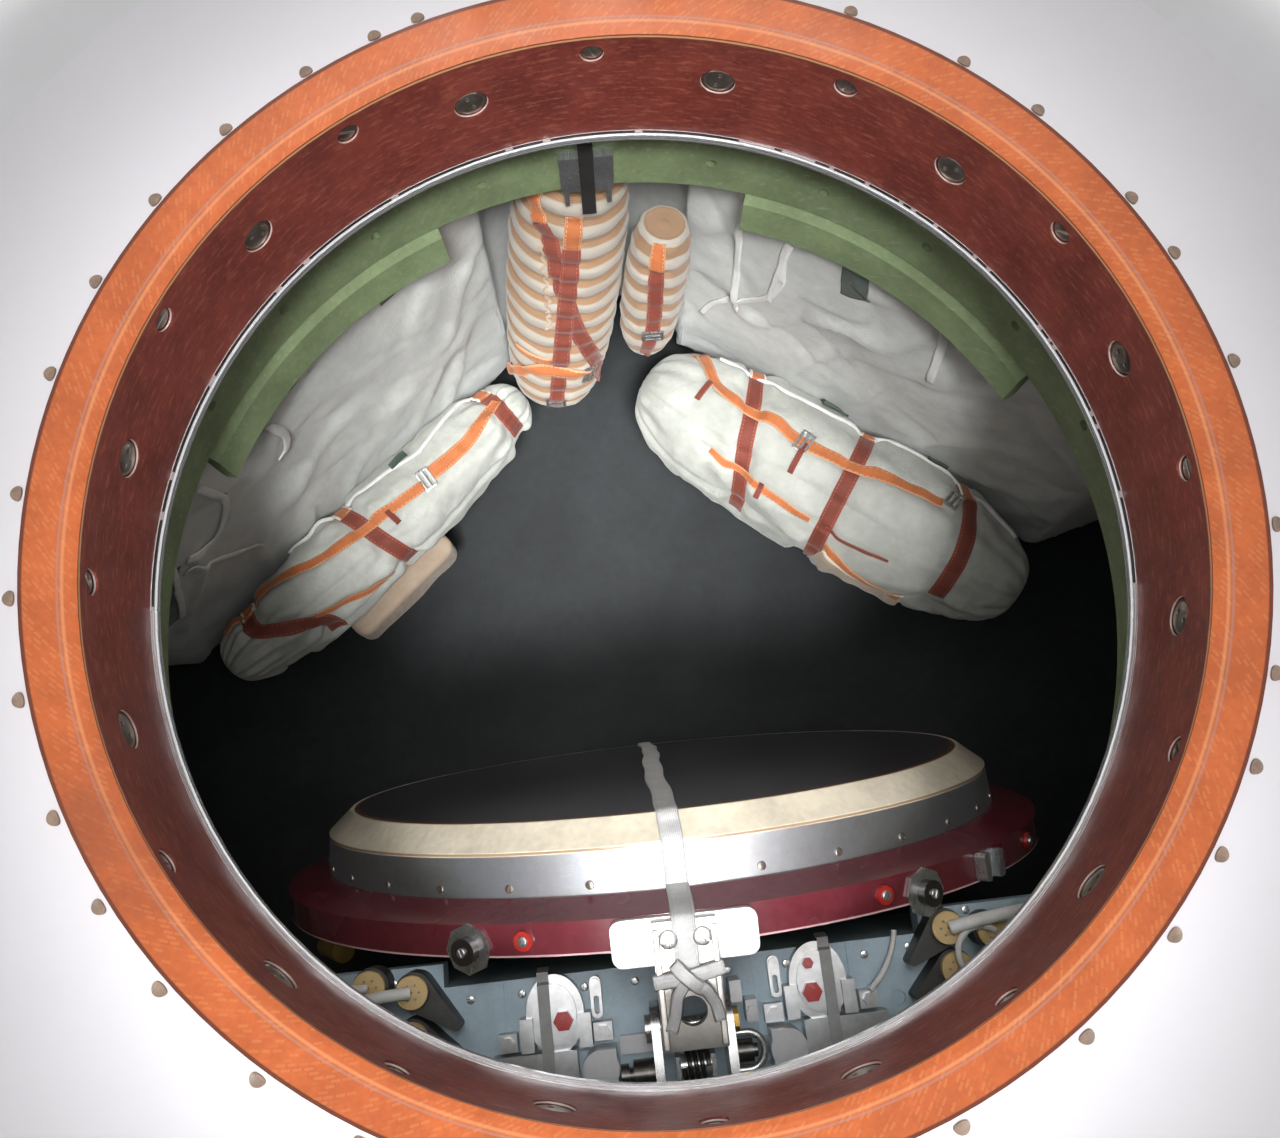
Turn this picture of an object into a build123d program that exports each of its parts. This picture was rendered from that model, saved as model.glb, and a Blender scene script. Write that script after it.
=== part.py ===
"""Crew hatch section of a descent capsule, in millimetres, +Z out of the hatch.

The section stands on its aft ring. Heights in the tables count from the hatch seat, the
upper face of the bright rim ring, and at() lifts them to the part frame, whose origin is
the middle of the foot. The hatch lid is swung inward on its hinge at -Y.
"""
from build123d import *
from math import cos, hypot, radians, sin, sqrt, tan
import os

os.makedirs("parts", exist_ok=True)

# main levels
SEAT_Z = 820.0          # hatch seat above the foot of the aft ring
DECK_TOP = 112.0        # flat outer surface above the seat
FIT = 0.3               # running gap of soft and loose pieces

# shell
SKIN_T = 12.0           # white outer skin and deck
SHELL_T = 12.0          # pressure shell wall
DECK_R = 455.0          # where the flat deck turns into the flank
FLANK_R = 250.0         # shell radius of the rounded flank
FLARE = 28.0            # how much the side wall widens down to the foot
SHELL_FOOT = -780.0
SKINS = 4
RING_H = 40.0
RING_LIP = 27.0
FLOOR_T = 12.0
AFT_BOLT_R = 730.0
AFT_BOLTS = 24
AFT_HOLE_R = 6.0

# hatch ring
TUNNEL_R = 320.0        # collar bore at the seat
LIP_R = TUNNEL_R - 2    # collar bore at the lip
LIP_H = 101.0
COLLAR_T = 22.0
COLLAR_R = TUNNEL_R + COLLAR_T
COLLAR_UP = 4.0         # outer edge of the collar above the deck
FRAME_T = 10.0
FOOT_OUT = 34.0         # flanges that clamp the rim ring, beyond the collar
FOOT_R = COLLAR_R + FOOT_OUT
FOOT_T = 10.0
RIM_R = TUNNEL_R - 4
RIM_T = 6.0
BIG_RECESS_R = 12.0
SMALL_RECESS_R = 8.0
RECESS_DEPTH = 3.0
BIG_Z = 57.0
SMALL_Z = 82.0
RECESSES = 12

# inner frame below the seat
WALL_R = COLLAR_R + 20
WALL_T = 8.0
WALL_FOOT = -130.0
WALL_HOLE_R = 4.5
WALL_HOLE_Z = -97.0
WALL_HOLES = 24

# lid, heights from the middle of its outer face
LID_OPEN = 80.5
LID_RISE = 36.5         # closed outer face above the seat
HINGE_Y = 61.6 - WALL_R
HINGE_Z = -104.6
DISC_R = TUNNEL_R - 40
DISC_T = 6.0
DISC_DOME = 10.0
DISC_FLAT = 6.0         # flat spot in the middle
BEVEL_W = 23.0
BEVEL_R = DISC_R + BEVEL_W
BEVEL_H = 20.0
SKIRT_R = BEVEL_R + 2
SKIRT_H = 48.3
FLANGE_W = 35.0
FLANGE_R = SKIRT_R + FLANGE_W
FLANGE_CONE = 57.0
FLANGE_H = 79.0
CORE_R = DISC_R + 5
PAN_T = 8.0
RIB_H = 16.0
RIB_T = 8.0
LID_RIBS = 8

# hinge
PIN_R = 5.0
PIN_GAP = 0.05
ARM_W = 42.0
ARM_T = 6.0
ARM_OUT = FLANGE_R + 10
LUG_R = 14.0
CHEEK_GAP = 0.8
BASE_CHEEK_T = 6.0
COIL_BACK = 27.0        # spring rod behind and below the pin
COIL_DROP = 8.0
COIL_R = 9.0
WIRE_R = 1.6
COIL_W = 21.0
COIL_TURNS = 4
COIL_PLATE_T = 3.0

CLAMP_T = 8.0

# strap over the lid
STRAP_W = 16.0
STRAP_T = 1.5
STRAP_X = -2.0

# console and cabin soft goods
CONSOLE_FRONT = HINGE_Y + 38.4
CONSOLE_H = 200.0
CONSOLE_SEAMS = (-128, -60, 47, 115)
WING_X = 170.0          # the console's ends reach further out under the lid
WING_OUT = 16.0
PLANE_TOP = FOOT_R - 4  # stowage covers, distance of the flat front from the axis
PLANE_TILT = 5.0
COVER_FOOT = -640.0
RIB_DROP = 50.0         # green ribs below the inner frame
COVER_TOP = WALL_FOOT - RIB_DROP - FIT
LINER_T = 6.0
LINER_KNEE = (DECK_R + 85, -172.0)
LINER_SIDE = (DECK_R + FLANK_R - 73, -320.0)
LINER_FOOT = -520.0


def at(height):
    """Height over the hatch seat as a height in the part frame."""
    return SEAT_Z + height


def radial(azimuth, height, radius):
    """Plane on a cylinder round Z: x runs round it, y up, z outward."""
    a = radians(azimuth)
    return Plane(origin=(radius * cos(a), radius * sin(a), at(height)),
                 x_dir=(-sin(a), cos(a), 0), z_dir=(cos(a), sin(a), 0))


def band(path, thick):
    """Closed outline of a strip that lies on the left of a path of (x, y) points."""
    outer = []
    for i, p in enumerate(path):
        a = path[max(i - 1, 0)]
        b = path[min(i + 1, len(path) - 1)]
        run = hypot(b[0] - a[0], b[1] - a[1])
        outer.append((p[0] - (b[1] - a[1]) / run * thick, p[1] + (b[0] - a[0]) / run * thick))
    return path + outer[::-1]


def finish(piece, name):
    """Label one piece and write it."""
    piece.part.label = name
    export_step(piece.part, f"parts/{name}.step")


OUTLINE = Plane.XZ      # half section of everything round Z

# aft ring with its bolt circle, and the cabin floor on its lip
shell_foot_r = DECK_R + FLANK_R + FLARE
ring_r = shell_foot_r + SKIN_T + 15
with BuildPart() as aft_ring:
    with BuildSketch(OUTLINE):
        with BuildLine():
            Polyline((ring_r - 78, 0), (ring_r, 0), (ring_r, RING_H), (ring_r - 60, RING_H),
                     (ring_r - 60, RING_LIP), (ring_r - 78, RING_LIP), close=True)
        make_face()
    revolve(axis=Axis.Z)
    with BuildSketch(Plane.XY):
        with PolarLocations(AFT_BOLT_R, AFT_BOLTS):
            Circle(AFT_HOLE_R)
    extrude(amount=RING_H - 12, mode=Mode.SUBTRACT)
finish(aft_ring, "aft_ring")

with BuildPart() as cabin_floor:
    with BuildSketch(Plane.XY.offset(RING_LIP)):
        Circle(ring_r - 60)
    extrude(amount=FLOOR_T)
    with BuildSketch(Plane.XY.offset(RING_LIP)):
        with PolarLocations(0, 4):
            Rectangle(2 * (ring_r - 90), 8)
    extrude(amount=-15)
finish(cabin_floor, "cabin_floor")

# pressure shell: flat crown, rounded flank, flared wall
shell_in = COLLAR_R + FRAME_T
crown = DECK_TOP - SKIN_T
arc_z = crown - FLANK_R


def flank(radius, wide):
    """Outer points of the shell at a wall offset: crown edge, arc middle, arc end, foot."""
    k = radius * sqrt(0.5)
    return ((DECK_R, at(arc_z + radius)), (DECK_R + k, at(arc_z + k)),
            (DECK_R + radius, at(arc_z)), (DECK_R + radius + wide, at(SHELL_FOOT)))


def half_plane(azimuth):
    """Half-section plane through Z: x is the radius at this azimuth, y is up."""
    a = radians(azimuth)
    return Plane(origin=(0, 0, 0), x_dir=(cos(a), sin(a), 0), z_dir=(sin(a), -cos(a), 0))


def wall_r(radius, height):
    """Radius of the flared wall at a height."""
    return DECK_R + radius + FLARE * (arc_z - height) / (arc_z - SHELL_FOOT)


with BuildPart() as shell_crown:
    with BuildSketch(Plane.XY.offset(at(crown - SHELL_T))):
        Circle(DECK_R)
        Circle(shell_in, mode=Mode.SUBTRACT)
    extrude(amount=SHELL_T)
finish(shell_crown, "shell_crown")

SHELLS = (
    # node, outer and inner radius of the flank, first angle, swept angle, with flank, with wall
    [("shell_flank", FLANK_R, FLANK_R - SHELL_T, 0, 360, True, False),
     ("shell_wall", FLANK_R, FLANK_R - SHELL_T, 0, 360, False, True)]
    + [(f"outer_skin_{i + 1}", FLANK_R + SKIN_T, FLANK_R, 360 / SKINS * i, 360 / SKINS, True, True)
       for i in range(SKINS)]
)
for name, outer, inner, azimuth, sector, curved, straight in SHELLS:
    o, n = flank(outer, FLARE), flank(inner, FLARE)
    with BuildPart() as shell:
        with BuildSketch(half_plane(azimuth)):
            with BuildLine():
                if curved:
                    Line(n[0], o[0])
                    ThreePointArc(o[0], o[1], o[2])
                    ThreePointArc(n[2], n[1], n[0])
                if straight:
                    Line(o[2], o[3])
                    Line(o[3], n[3])
                    Line(n[3], n[2])
                if curved != straight:
                    Line(n[2], o[2])
            make_face()
        revolve(axis=Axis.Z, revolution_arc=sector)
    finish(shell, name)

with BuildPart() as outer_deck:
    with BuildSketch(Plane.XY.offset(at(crown))):
        Circle(DECK_R)
        Circle(COLLAR_R, mode=Mode.SUBTRACT)
    extrude(amount=SKIN_T)
finish(outer_deck, "outer_deck")

# hatch frame round the collar, rim ring clamped under both, inner frame below
with BuildPart() as hatch_frame:
    with BuildSketch(OUTLINE):
        with BuildLine():
            Polyline((COLLAR_R, at(0)), (FOOT_R, at(0)), (FOOT_R, at(FOOT_T)),
                     (shell_in, at(FOOT_T)), (shell_in, at(crown)), (COLLAR_R, at(crown)),
                     close=True)
        make_face()
    revolve(axis=Axis.Z)
finish(hatch_frame, "hatch_frame")

with BuildPart() as hatch_collar:
    with BuildSketch(OUTLINE):
        with BuildLine():
            Polyline((TUNNEL_R, at(0)), (COLLAR_R, at(0)), (COLLAR_R, at(DECK_TOP + COLLAR_UP)),
                     (LIP_R + 3, at(LIP_H + 1.2)), (LIP_R, at(LIP_H - 1.5)), close=True)
        make_face()
    revolve(axis=Axis.Z)
    for i in range(RECESSES):
        step = 360 / RECESSES
        for az, z, r in ((step * (i + 0.5), BIG_Z, BIG_RECESS_R), (step * i, SMALL_Z, SMALL_RECESS_R)):
            with BuildSketch(radial(az, z, LIP_R - 2)):
                Circle(r)
            extrude(amount=RECESS_DEPTH + 4, mode=Mode.SUBTRACT)
finish(hatch_collar, "hatch_collar")

with BuildPart() as rim_ring:
    with BuildSketch(OUTLINE):
        with BuildLine():
            Polyline((RIM_R, at(-RIM_T)), (FOOT_R, at(-RIM_T)), (FOOT_R, at(0)),
                     (RIM_R + 1, at(0)), (RIM_R, at(-1)), close=True)
        make_face()
    revolve(axis=Axis.Z)
finish(rim_ring, "rim_ring")

with BuildPart() as inner_frame:
    with BuildSketch(OUTLINE):
        with BuildLine():
            Polyline((WALL_R, at(-RIM_T)), (WALL_R, at(WALL_FOOT)), (FOOT_R, at(WALL_FOOT)),
                     (FOOT_R, at(WALL_FOOT + 8)), (WALL_R + WALL_T, at(WALL_FOOT + 8)),
                     (WALL_R + WALL_T, at(-RIM_T - FOOT_T)), (FOOT_R, at(-RIM_T - FOOT_T)),
                     (FOOT_R, at(-RIM_T)), close=True)
        make_face()
    revolve(axis=Axis.Z)
    for i in range(WALL_HOLES):
        with BuildSketch(radial(360 / WALL_HOLES * i, WALL_HOLE_Z, WALL_R - 2)):
            Circle(WALL_HOLE_R)
        extrude(amount=WALL_T + 4, mode=Mode.SUBTRACT)
finish(inner_frame, "inner_frame")

# sloping green ribs under the inner frame, on both sides of the striped bag
for name, start, end in (("rib_right", 25, 70), ("rib_left", 112, 155)):
    with BuildPart() as rib:
        with BuildSketch(half_plane(start)):
            with BuildLine():
                Polyline((WALL_R + 4, at(WALL_FOOT)), (FOOT_R, at(WALL_FOOT)),
                         (PLANE_TOP - FIT, at(WALL_FOOT - RIB_DROP)), (WALL_R + 6, at(WALL_FOOT - RIB_DROP - 6)),
                         (WALL_R - 6, at(WALL_FOOT - RIB_DROP + 4)), (WALL_R - 3, at(WALL_FOOT - 12)),
                         close=True)
            make_face()
        revolve(axis=Axis.Z, revolution_arc=end - start)
    finish(rib, name)

# cabin liner: fabric ceiling out from the inner frame, and the wall below it
side_foot = (wall_r(FLANK_R - SHELL_T, LINER_FOOT) - 8, LINER_FOOT)
LINERS = (
    # node, path as (radius, height)
    ("liner_ceiling", ((FOOT_R + FIT, WALL_FOOT + 8), (FOOT_R + 10, WALL_FOOT - 3), LINER_KNEE)),
    ("liner_wall", (LINER_KNEE, LINER_SIDE, side_foot)),
)
for name, path in LINERS:
    with BuildPart() as liner:
        with BuildSketch(OUTLINE):
            with BuildLine():
                Polyline(*band([(r, at(z)) for r, z in path], LINER_T), close=True)
            make_face()
        revolve(axis=Axis.Z)
    finish(liner, name)

# stowage covers with a flat front, one on each side of the cabin
BAGS = (
    # side, front azimuth, spread before and after it, bag radius, bag length, middle along front, end radius
    ("right", 52, 38, 26, 88, 510, -65, 42),
    ("left", 131, 26, 40, 58, 470, 75, 34),
)
BAG_Z = -560.0
lean = tan(radians(PLANE_TILT))


def front(azimuth, height, inset=0.0):
    """Plane on a cover's flat front: x level, y up the front, z towards the hatch axis."""
    a = radians(azimuth)
    d = PLANE_TOP + (COVER_TOP - height) * lean - inset
    out = Vector(cos(a), sin(a), 0)
    tilt = radians(PLANE_TILT)
    return Plane(origin=(d * out.X, d * out.Y, at(height)), x_dir=(-sin(a), cos(a), 0),
                 z_dir=(-cos(tilt) * out.X, -cos(tilt) * out.Y, -sin(tilt)))


for side, az, before, after, bag_r, bag_len, shift, end_r in BAGS:
    with BuildPart() as cover:
        with BuildSketch(half_plane(az - before)):
            with BuildLine():
                Polyline((DISC_R, at(COVER_TOP)), (LINER_KNEE[0] + 5, at(COVER_TOP - 2)),
                         (LINER_SIDE[0] - 4, at(LINER_SIDE[1] - 2)), (side_foot[0] - 19, at(LINER_FOOT)),
                         (side_foot[0] - 19, at(COVER_FOOT)), (DISC_R, at(COVER_FOOT)), close=True)
            make_face()
        revolve(axis=Axis.Z, revolution_arc=before + after)
        split(bisect_by=front(az, COVER_TOP), keep=Keep.BOTTOM)
    finish(cover, f"cover_{side}")

    mid = front(az, BAG_Z, 0)
    lay = Plane(origin=mid.origin + mid.z_dir * (bag_r + FIT) + mid.x_dir * shift,
                x_dir=mid.x_dir, z_dir=mid.z_dir)
    half = bag_len / 2
    with BuildPart() as bag:
        with BuildSketch(lay):
            with BuildLine():
                Line((-half, 0), (half, 0))
                Line((half, 0), (half, end_r * 0.6))
                Spline([(half * k, bag_r * (1 - abs(k) ** 2.8) ** (1 / 2.8) if abs(k) < 1 else end_r * 0.6)
                        for k in (1, 0.97, 0.88, 0.7, 0.4, 0, -0.4, -0.7, -0.88, -0.97, -1)])
                Line((-half, end_r * 0.6), (-half, 0))
            make_face()
        revolve(axis=Axis(lay.origin, lay.x_dir))
    finish(bag, f"bag_{side}")
left_lay, left_r = lay, bag_r

# console across the hinge side, closed block under the inner frame
with BuildPart() as console:
    with BuildSketch(Plane.XY.offset(at(WALL_FOOT))):
        Circle(FOOT_R)
        with Locations((0, FOOT_R + CONSOLE_FRONT)):
            Rectangle(4 * FOOT_R, 2 * FOOT_R, mode=Mode.SUBTRACT)
    extrude(amount=-CONSOLE_H)
    chamfer(console.edges().filter_by(Axis.X).group_by(Axis.Z)[0].sort_by(Axis.Y)[-1:], 40)
    with BuildSketch(Plane.XY.offset(at(WALL_FOOT))):
        for side in (-1, 1):
            with Locations((side * (WING_X + FOOT_R), CONSOLE_FRONT + WING_OUT - FOOT_R / 2)):
                Rectangle(2 * FOOT_R, FOOT_R)
        Circle(FOOT_R, mode=Mode.INTERSECT)
    extrude(amount=-20)
    with BuildSketch(Plane.XY.offset(at(WALL_FOOT))):
        with Locations((148, -WALL_R + 59)):
            Circle(5)
    extrude(amount=-3, mode=Mode.SUBTRACT)
    with BuildSketch(Plane.XY.offset(at(WALL_FOOT))):
        with Locations(*[(x, CONSOLE_FRONT) for x in CONSOLE_SEAMS]):
            Rectangle(1, FOOT_R)
    extrude(amount=-1, mode=Mode.SUBTRACT)
finish(console, "console")

# hinge base on the console and the inner frame wall, with the pin
cheek_in = ARM_W / 2 + CHEEK_GAP
coil_y, coil_z = HINGE_Y - COIL_BACK, at(HINGE_Z - COIL_DROP)
side_plane = Plane(origin=(0, 0, 0), x_dir=(0, 1, 0), z_dir=(1, 0, 0))
with BuildPart() as hinge_base:
    with BuildSketch(Plane.XY.offset(at(WALL_FOOT))):
        Circle(WALL_R)
        with Locations((0, WALL_R - ARM_OUT - 5.5)):
            Rectangle(4 * WALL_R, 2 * WALL_R, mode=Mode.SUBTRACT)
        with Locations((2 * WALL_R + cheek_in + BASE_CHEEK_T, 0), (-2 * WALL_R - cheek_in - BASE_CHEEK_T, 0)):
            Rectangle(4 * WALL_R, 4 * WALL_R, mode=Mode.SUBTRACT)
    extrude(amount=48)
    for x in (cheek_in, -cheek_in - BASE_CHEEK_T):
        with BuildSketch(side_plane.offset(x)):
            with BuildLine():
                Polyline((-ARM_OUT - 7, at(WALL_FOOT)), (HINGE_Y + LUG_R, at(WALL_FOOT)),
                         (HINGE_Y + LUG_R, at(HINGE_Z)), (HINGE_Y, at(HINGE_Z + LUG_R)),
                         (-ARM_OUT - 7, at(HINGE_Z + LUG_R + 6)), close=True)
            make_face()
            with Locations((HINGE_Y, at(HINGE_Z))):
                Circle(LUG_R)
        extrude(amount=BASE_CHEEK_T)
    with BuildSketch(side_plane):
        with Locations((HINGE_Y, at(HINGE_Z))):
            Circle(PIN_R)
    extrude(amount=60, both=True, mode=Mode.SUBTRACT)
    for x in (COIL_W / 2, -COIL_W / 2 - COIL_PLATE_T):
        with BuildSketch(side_plane.offset(x)):
            with BuildLine():
                Polyline((-ARM_OUT - 7, at(WALL_FOOT)), (-ARM_OUT - 7, at(HINGE_Z - 6)),
                         (coil_y - 11, at(HINGE_Z - 6)), (coil_y - 7, coil_z + 9), (coil_y + 7, coil_z + 9),
                         (coil_y + 11, coil_z), (coil_y + 9, at(WALL_FOOT)), close=True)
            make_face()
        extrude(amount=COIL_PLATE_T)
    with BuildSketch(side_plane.offset(-COIL_W / 2)):
        with Locations((coil_y, coil_z)):
            Circle(COIL_R - WIRE_R - FIT)
    extrude(amount=COIL_W)
finish(hinge_base, "hinge_base")

# coil spring on its own rod behind the pin
with BuildPart() as hinge_spring:
    with BuildLine() as coil:
        Helix(pitch=(COIL_W - 2 * WIRE_R - 1) / COIL_TURNS, height=COIL_W - 2 * WIRE_R - 1, radius=COIL_R,
              center=(-COIL_W / 2 + WIRE_R + 0.5, coil_y, coil_z), direction=(1, 0, 0))
    with BuildSketch(coil.line ^ 0):
        Circle(WIRE_R)
    sweep()
finish(hinge_spring, "hinge_spring")

with BuildPart() as hinge_pin:
    with BuildSketch(side_plane.offset(-cheek_in - BASE_CHEEK_T - 4)):
        with Locations((HINGE_Y, at(HINGE_Z))):
            Circle(PIN_R)
    extrude(amount=2 * (cheek_in + BASE_CHEEK_T + 4))
    with BuildSketch(side_plane.offset(-cheek_in - BASE_CHEEK_T - 4)):
        with Locations((HINGE_Y, at(HINGE_Z))):
            Circle(PIN_R + 4)
    extrude(amount=4)
finish(hinge_pin, "hinge_pin")

# lid frame: x as the part, y away from the hinge, z out of the lid's outer face
swing = radians(LID_OPEN)
reach, rise = -HINGE_Y, LID_RISE - HINGE_Z
LID = Plane(origin=(0, HINGE_Y + reach * cos(swing) + rise * sin(swing),
                    at(HINGE_Z - reach * sin(swing) + rise * cos(swing))),
            x_dir=(1, 0, 0), z_dir=(0, sin(swing), cos(swing)))
LID_HALF = Plane(origin=LID.origin, x_dir=(1, 0, 0), z_dir=-LID.y_dir)
LID_SIDE = Plane(origin=LID.origin, x_dir=LID.y_dir, z_dir=(1, 0, 0))
LID_AXIS = Axis(LID.origin, LID.z_dir)
pin_y, pin_h = HINGE_Y, HINGE_Z - LID_RISE



def dome(r):
    """Height of the domed outer face over the disc's edge."""
    ball = (DISC_R ** 2 + DISC_DOME ** 2) / (2 * DISC_DOME)
    return sqrt(ball ** 2 - r ** 2) - ball + DISC_DOME


with BuildPart() as lid_disc:
    with BuildSketch(LID_HALF):
        with BuildLine():
            Line((0, -DISC_T), (DISC_R, -DISC_T))
            Line((DISC_R, -DISC_T), (DISC_R, 0))
            ThreePointArc((DISC_R, 0), (DISC_R / 2, dome(DISC_R / 2)), (DISC_FLAT, dome(DISC_FLAT)))
            Line((DISC_FLAT, dome(DISC_FLAT)), (0, dome(DISC_FLAT)))
            Line((0, dome(DISC_FLAT)), (0, -DISC_T))
        make_face()
    revolve(axis=LID_AXIS)
finish(lid_disc, "lid_disc")

LID_RINGS = (
    # node, half section as (radius, height)
    ("lid_bevel", ((DISC_R - 18, -BEVEL_H), (DISC_R - 18, -DISC_T), (DISC_R, -DISC_T), (DISC_R, 0),
                   (DISC_R + 3, 0), (BEVEL_R, -BEVEL_H + 3), (BEVEL_R, -BEVEL_H))),
    ("lid_skirt", ((CORE_R, -BEVEL_H), (BEVEL_R, -BEVEL_H), (SKIRT_R, -SKIRT_H), (CORE_R, -SKIRT_H))),
    ("lid_flange", ((CORE_R, -SKIRT_H), (SKIRT_R + 3, -SKIRT_H), (FLANGE_R, -FLANGE_CONE),
                    (FLANGE_R, -FLANGE_H), (CORE_R, -FLANGE_H))),
)
for name, section in LID_RINGS:
    with BuildPart() as lid_ring:
        with BuildSketch(LID_HALF):
            with BuildLine():
                Polyline(*section, close=True)
            make_face()
        revolve(axis=LID_AXIS)
    finish(lid_ring, name)

# inner pan with stiffening ribs and a middle boss
with BuildPart() as lid_pan:
    with BuildSketch(LID.offset(-FLANGE_H)):
        Circle(CORE_R)
    extrude(amount=PAN_T)
    with BuildSketch(LID.offset(-FLANGE_H)):
        with PolarLocations(CORE_R / 2 + 20, LID_RIBS, start_angle=22.5):
            Rectangle(CORE_R - 60, RIB_T)
        Circle(60)
    extrude(amount=-RIB_H)
finish(lid_pan, "lid_pan")

# latch plates and rollers on the flange
LATCHES = (-115, -60, 65, 120)


def on_flange(angle, height, radius=FLANGE_R):
    """Plane on the lid's flange: x round it, y out of the lid's face, z outward."""
    a = radians(angle)
    out = LID.x_dir * cos(a) + LID.y_dir * sin(a)
    return Plane(origin=LID.origin + out * radius + LID.z_dir * height,
                 x_dir=LID.x_dir * -sin(a) + LID.y_dir * cos(a), z_dir=out)


for name, radius, size_r, depth in (("lid_latches", FLANGE_R, 0, 2.5), ("lid_rollers", FLANGE_R + 2.5, 9, 7)):
    with BuildPart() as latch:
        for angle in LATCHES:
            with BuildSketch(on_flange(angle, -FLANGE_H + 6, radius)):
                if size_r:
                    Circle(size_r)
                else:
                    RegularPolygon(17, 8)
            extrude(amount=depth)
    finish(latch, name)

# hinge plate on the flange and the hinge arm down to the pin
back = Plane(origin=LID.origin - LID.y_dir * ARM_OUT, x_dir=(1, 0, 0), z_dir=LID.y_dir)
with BuildPart() as hinge_plate:
    with BuildSketch(on_flange(-90, 0, ARM_OUT - ARM_T)):
        with Locations((0, (-FLANGE_CONE - FLANGE_H) / 2 - 5)):
            RectangleRounded(96, FLANGE_H - FLANGE_CONE + 8, 7)
    extrude(amount=-14)
    with BuildSketch(LID.offset(-FLANGE_H - 20)):
        Circle(FLANGE_R)
    extrude(amount=60, mode=Mode.SUBTRACT)
finish(hinge_plate, "hinge_plate")

arm_top = -FLANGE_CONE - 3
with BuildPart() as hinge_arm:
    with BuildSketch(on_flange(-90, 0, ARM_OUT)):
        with Locations((0, (arm_top + pin_h) / 2)):
            Rectangle(ARM_W, arm_top - pin_h)
        with Locations((0, arm_top - 32), (0, arm_top - 57)):
            Circle(9.5, mode=Mode.SUBTRACT)
    extrude(amount=-ARM_T)
    for x in (-ARM_W / 2, ARM_W / 2 - ARM_T):
        with BuildSketch(LID_SIDE.offset(x)):
            with BuildLine():
                Polyline((-ARM_OUT, pin_h), (-ARM_OUT, arm_top), (-ARM_OUT + ARM_T, arm_top),
                         (-ARM_OUT + ARM_T, -FLANGE_H - 12), (pin_y + 2, pin_h + LUG_R),
                         (pin_y, pin_h - LUG_R), (pin_y - 10, pin_h - LUG_R + 3), close=True)
            make_face()
            with Locations((pin_y, pin_h)):
                Circle(LUG_R)
        extrude(amount=ARM_T)
    with BuildSketch(LID_SIDE.offset(-ARM_W)):
        with Locations((pin_y, pin_h)):
            Circle(PIN_R + PIN_GAP)
    extrude(amount=2 * ARM_W, mode=Mode.SUBTRACT)
finish(hinge_arm, "hinge_arm")

# white strap over the lid, tied down on the hinge arm
near = ARM_OUT + FIT
strap_path = [(-near, -FLANGE_H - 24), (-near, arm_top + 1), (-FLANGE_R - 2, -FLANGE_CONE + 1.2),
              (-SKIRT_R - 3, -SKIRT_H + 1.2), (-SKIRT_R - 0.8, -SKIRT_H + 3), (-BEVEL_R - 0.8, -BEVEL_H + 3.4), (-DISC_R - 3.8, 0.8)]
strap_path += [(DISC_R * k, dome(DISC_R * abs(k)) + 0.8) for k in (-1.0, -0.75, -0.5, -0.25, 0, 0.25, 0.5, 0.75, 1.0)]
strap_path += [(DISC_R + 3.8, 0.8), (BEVEL_R + 0.8, -BEVEL_H + 3.4), (SKIRT_R + 0.8, -SKIRT_H + 3), (SKIRT_R + 3, -SKIRT_H + 1.2),
               (FLANGE_R - 8, -FLANGE_CONE + 3.4)]
with BuildPart() as lid_strap:
    with BuildSketch(LID_SIDE.offset(STRAP_X - STRAP_W / 2)):
        with BuildLine():
            Polyline(*band(strap_path, STRAP_T), close=True)
        make_face()
    extrude(amount=STRAP_W)
finish(lid_strap, "lid_strap")

# red buttons on the flange and the brass valve under it
with BuildPart() as lid_buttons:
    for angle in (-108, -66, -34):
        with BuildSketch(on_flange(angle, (-FLANGE_CONE - FLANGE_H) / 2)):
            Circle(6.5)
        extrude(amount=3)
finish(lid_buttons, "lid_buttons")

valve = on_flange(-143, -FLANGE_H - 9, FLANGE_R - 11)
with BuildPart() as lid_valve:
    with BuildSketch(Plane(origin=valve.origin - valve.x_dir * 15, x_dir=valve.z_dir, z_dir=valve.x_dir)):
        Circle(9)
    extrude(amount=30)
finish(lid_valve, "lid_valve")

# bracket on the lid flange
with BuildPart() as lid_bracket:
    with BuildSketch(on_flange(-48, (-FLANGE_CONE - FLANGE_H) / 2)):
        RectangleRounded(26, 20, 3)
    extrude(amount=9)
    with BuildSketch(on_flange(-48, (-FLANGE_CONE - FLANGE_H) / 2, FLANGE_R + 3)):
        Rectangle(13, 24)
    extrude(amount=10, mode=Mode.SUBTRACT)
finish(lid_bracket, "lid_bracket")

# fittings on the console: foot block, side posts and an oval head with a hexagon bolt
top = at(WALL_FOOT)
console_top = Plane.XY.offset(top)
FITTINGS = (
    # side, middle, bolts as (x, y, radius) from the middle, strap offset
    ("left", (-93, -WALL_R + 76), ((6, -4, 7),), -6.5),
    ("right", (91, -WALL_R + 78), ((-6, -6, 7), (-6.5, 13, 4)), 7),
)
for side, (x, y), bolts, strap in FITTINGS:
    with BuildPart() as fitting:
        with BuildSketch(console_top):
            with Locations((x * 1.17, y - 35)):
                Rectangle(58, 22)
            with Locations((x - 20, y - 12), (x + 20, y - 12)):
                Rectangle(9, 22)
            Circle(WALL_R - 1.5, mode=Mode.INTERSECT)
        extrude(amount=16)
        with BuildSketch(console_top):
            with Locations((x, y)):
                Ellipse(20, 26)
        extrude(amount=12)
        with BuildSketch(console_top.offset(12)):
            with Locations((x, y)):
                Ellipse(15, 20)
        extrude(amount=4)
    finish(fitting, f"fitting_{side}")

with BuildPart() as fitting_bolts:
    for side, (x, y), bolts, strap in FITTINGS:
        for dx, dy, size_r in bolts:
            with BuildSketch(console_top.offset(16)):
                with Locations((x + dx, y + dy)):
                    RegularPolygon(size_r, 6)
            extrude(amount=6)
finish(fitting_bolts, "fitting_bolts")

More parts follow.
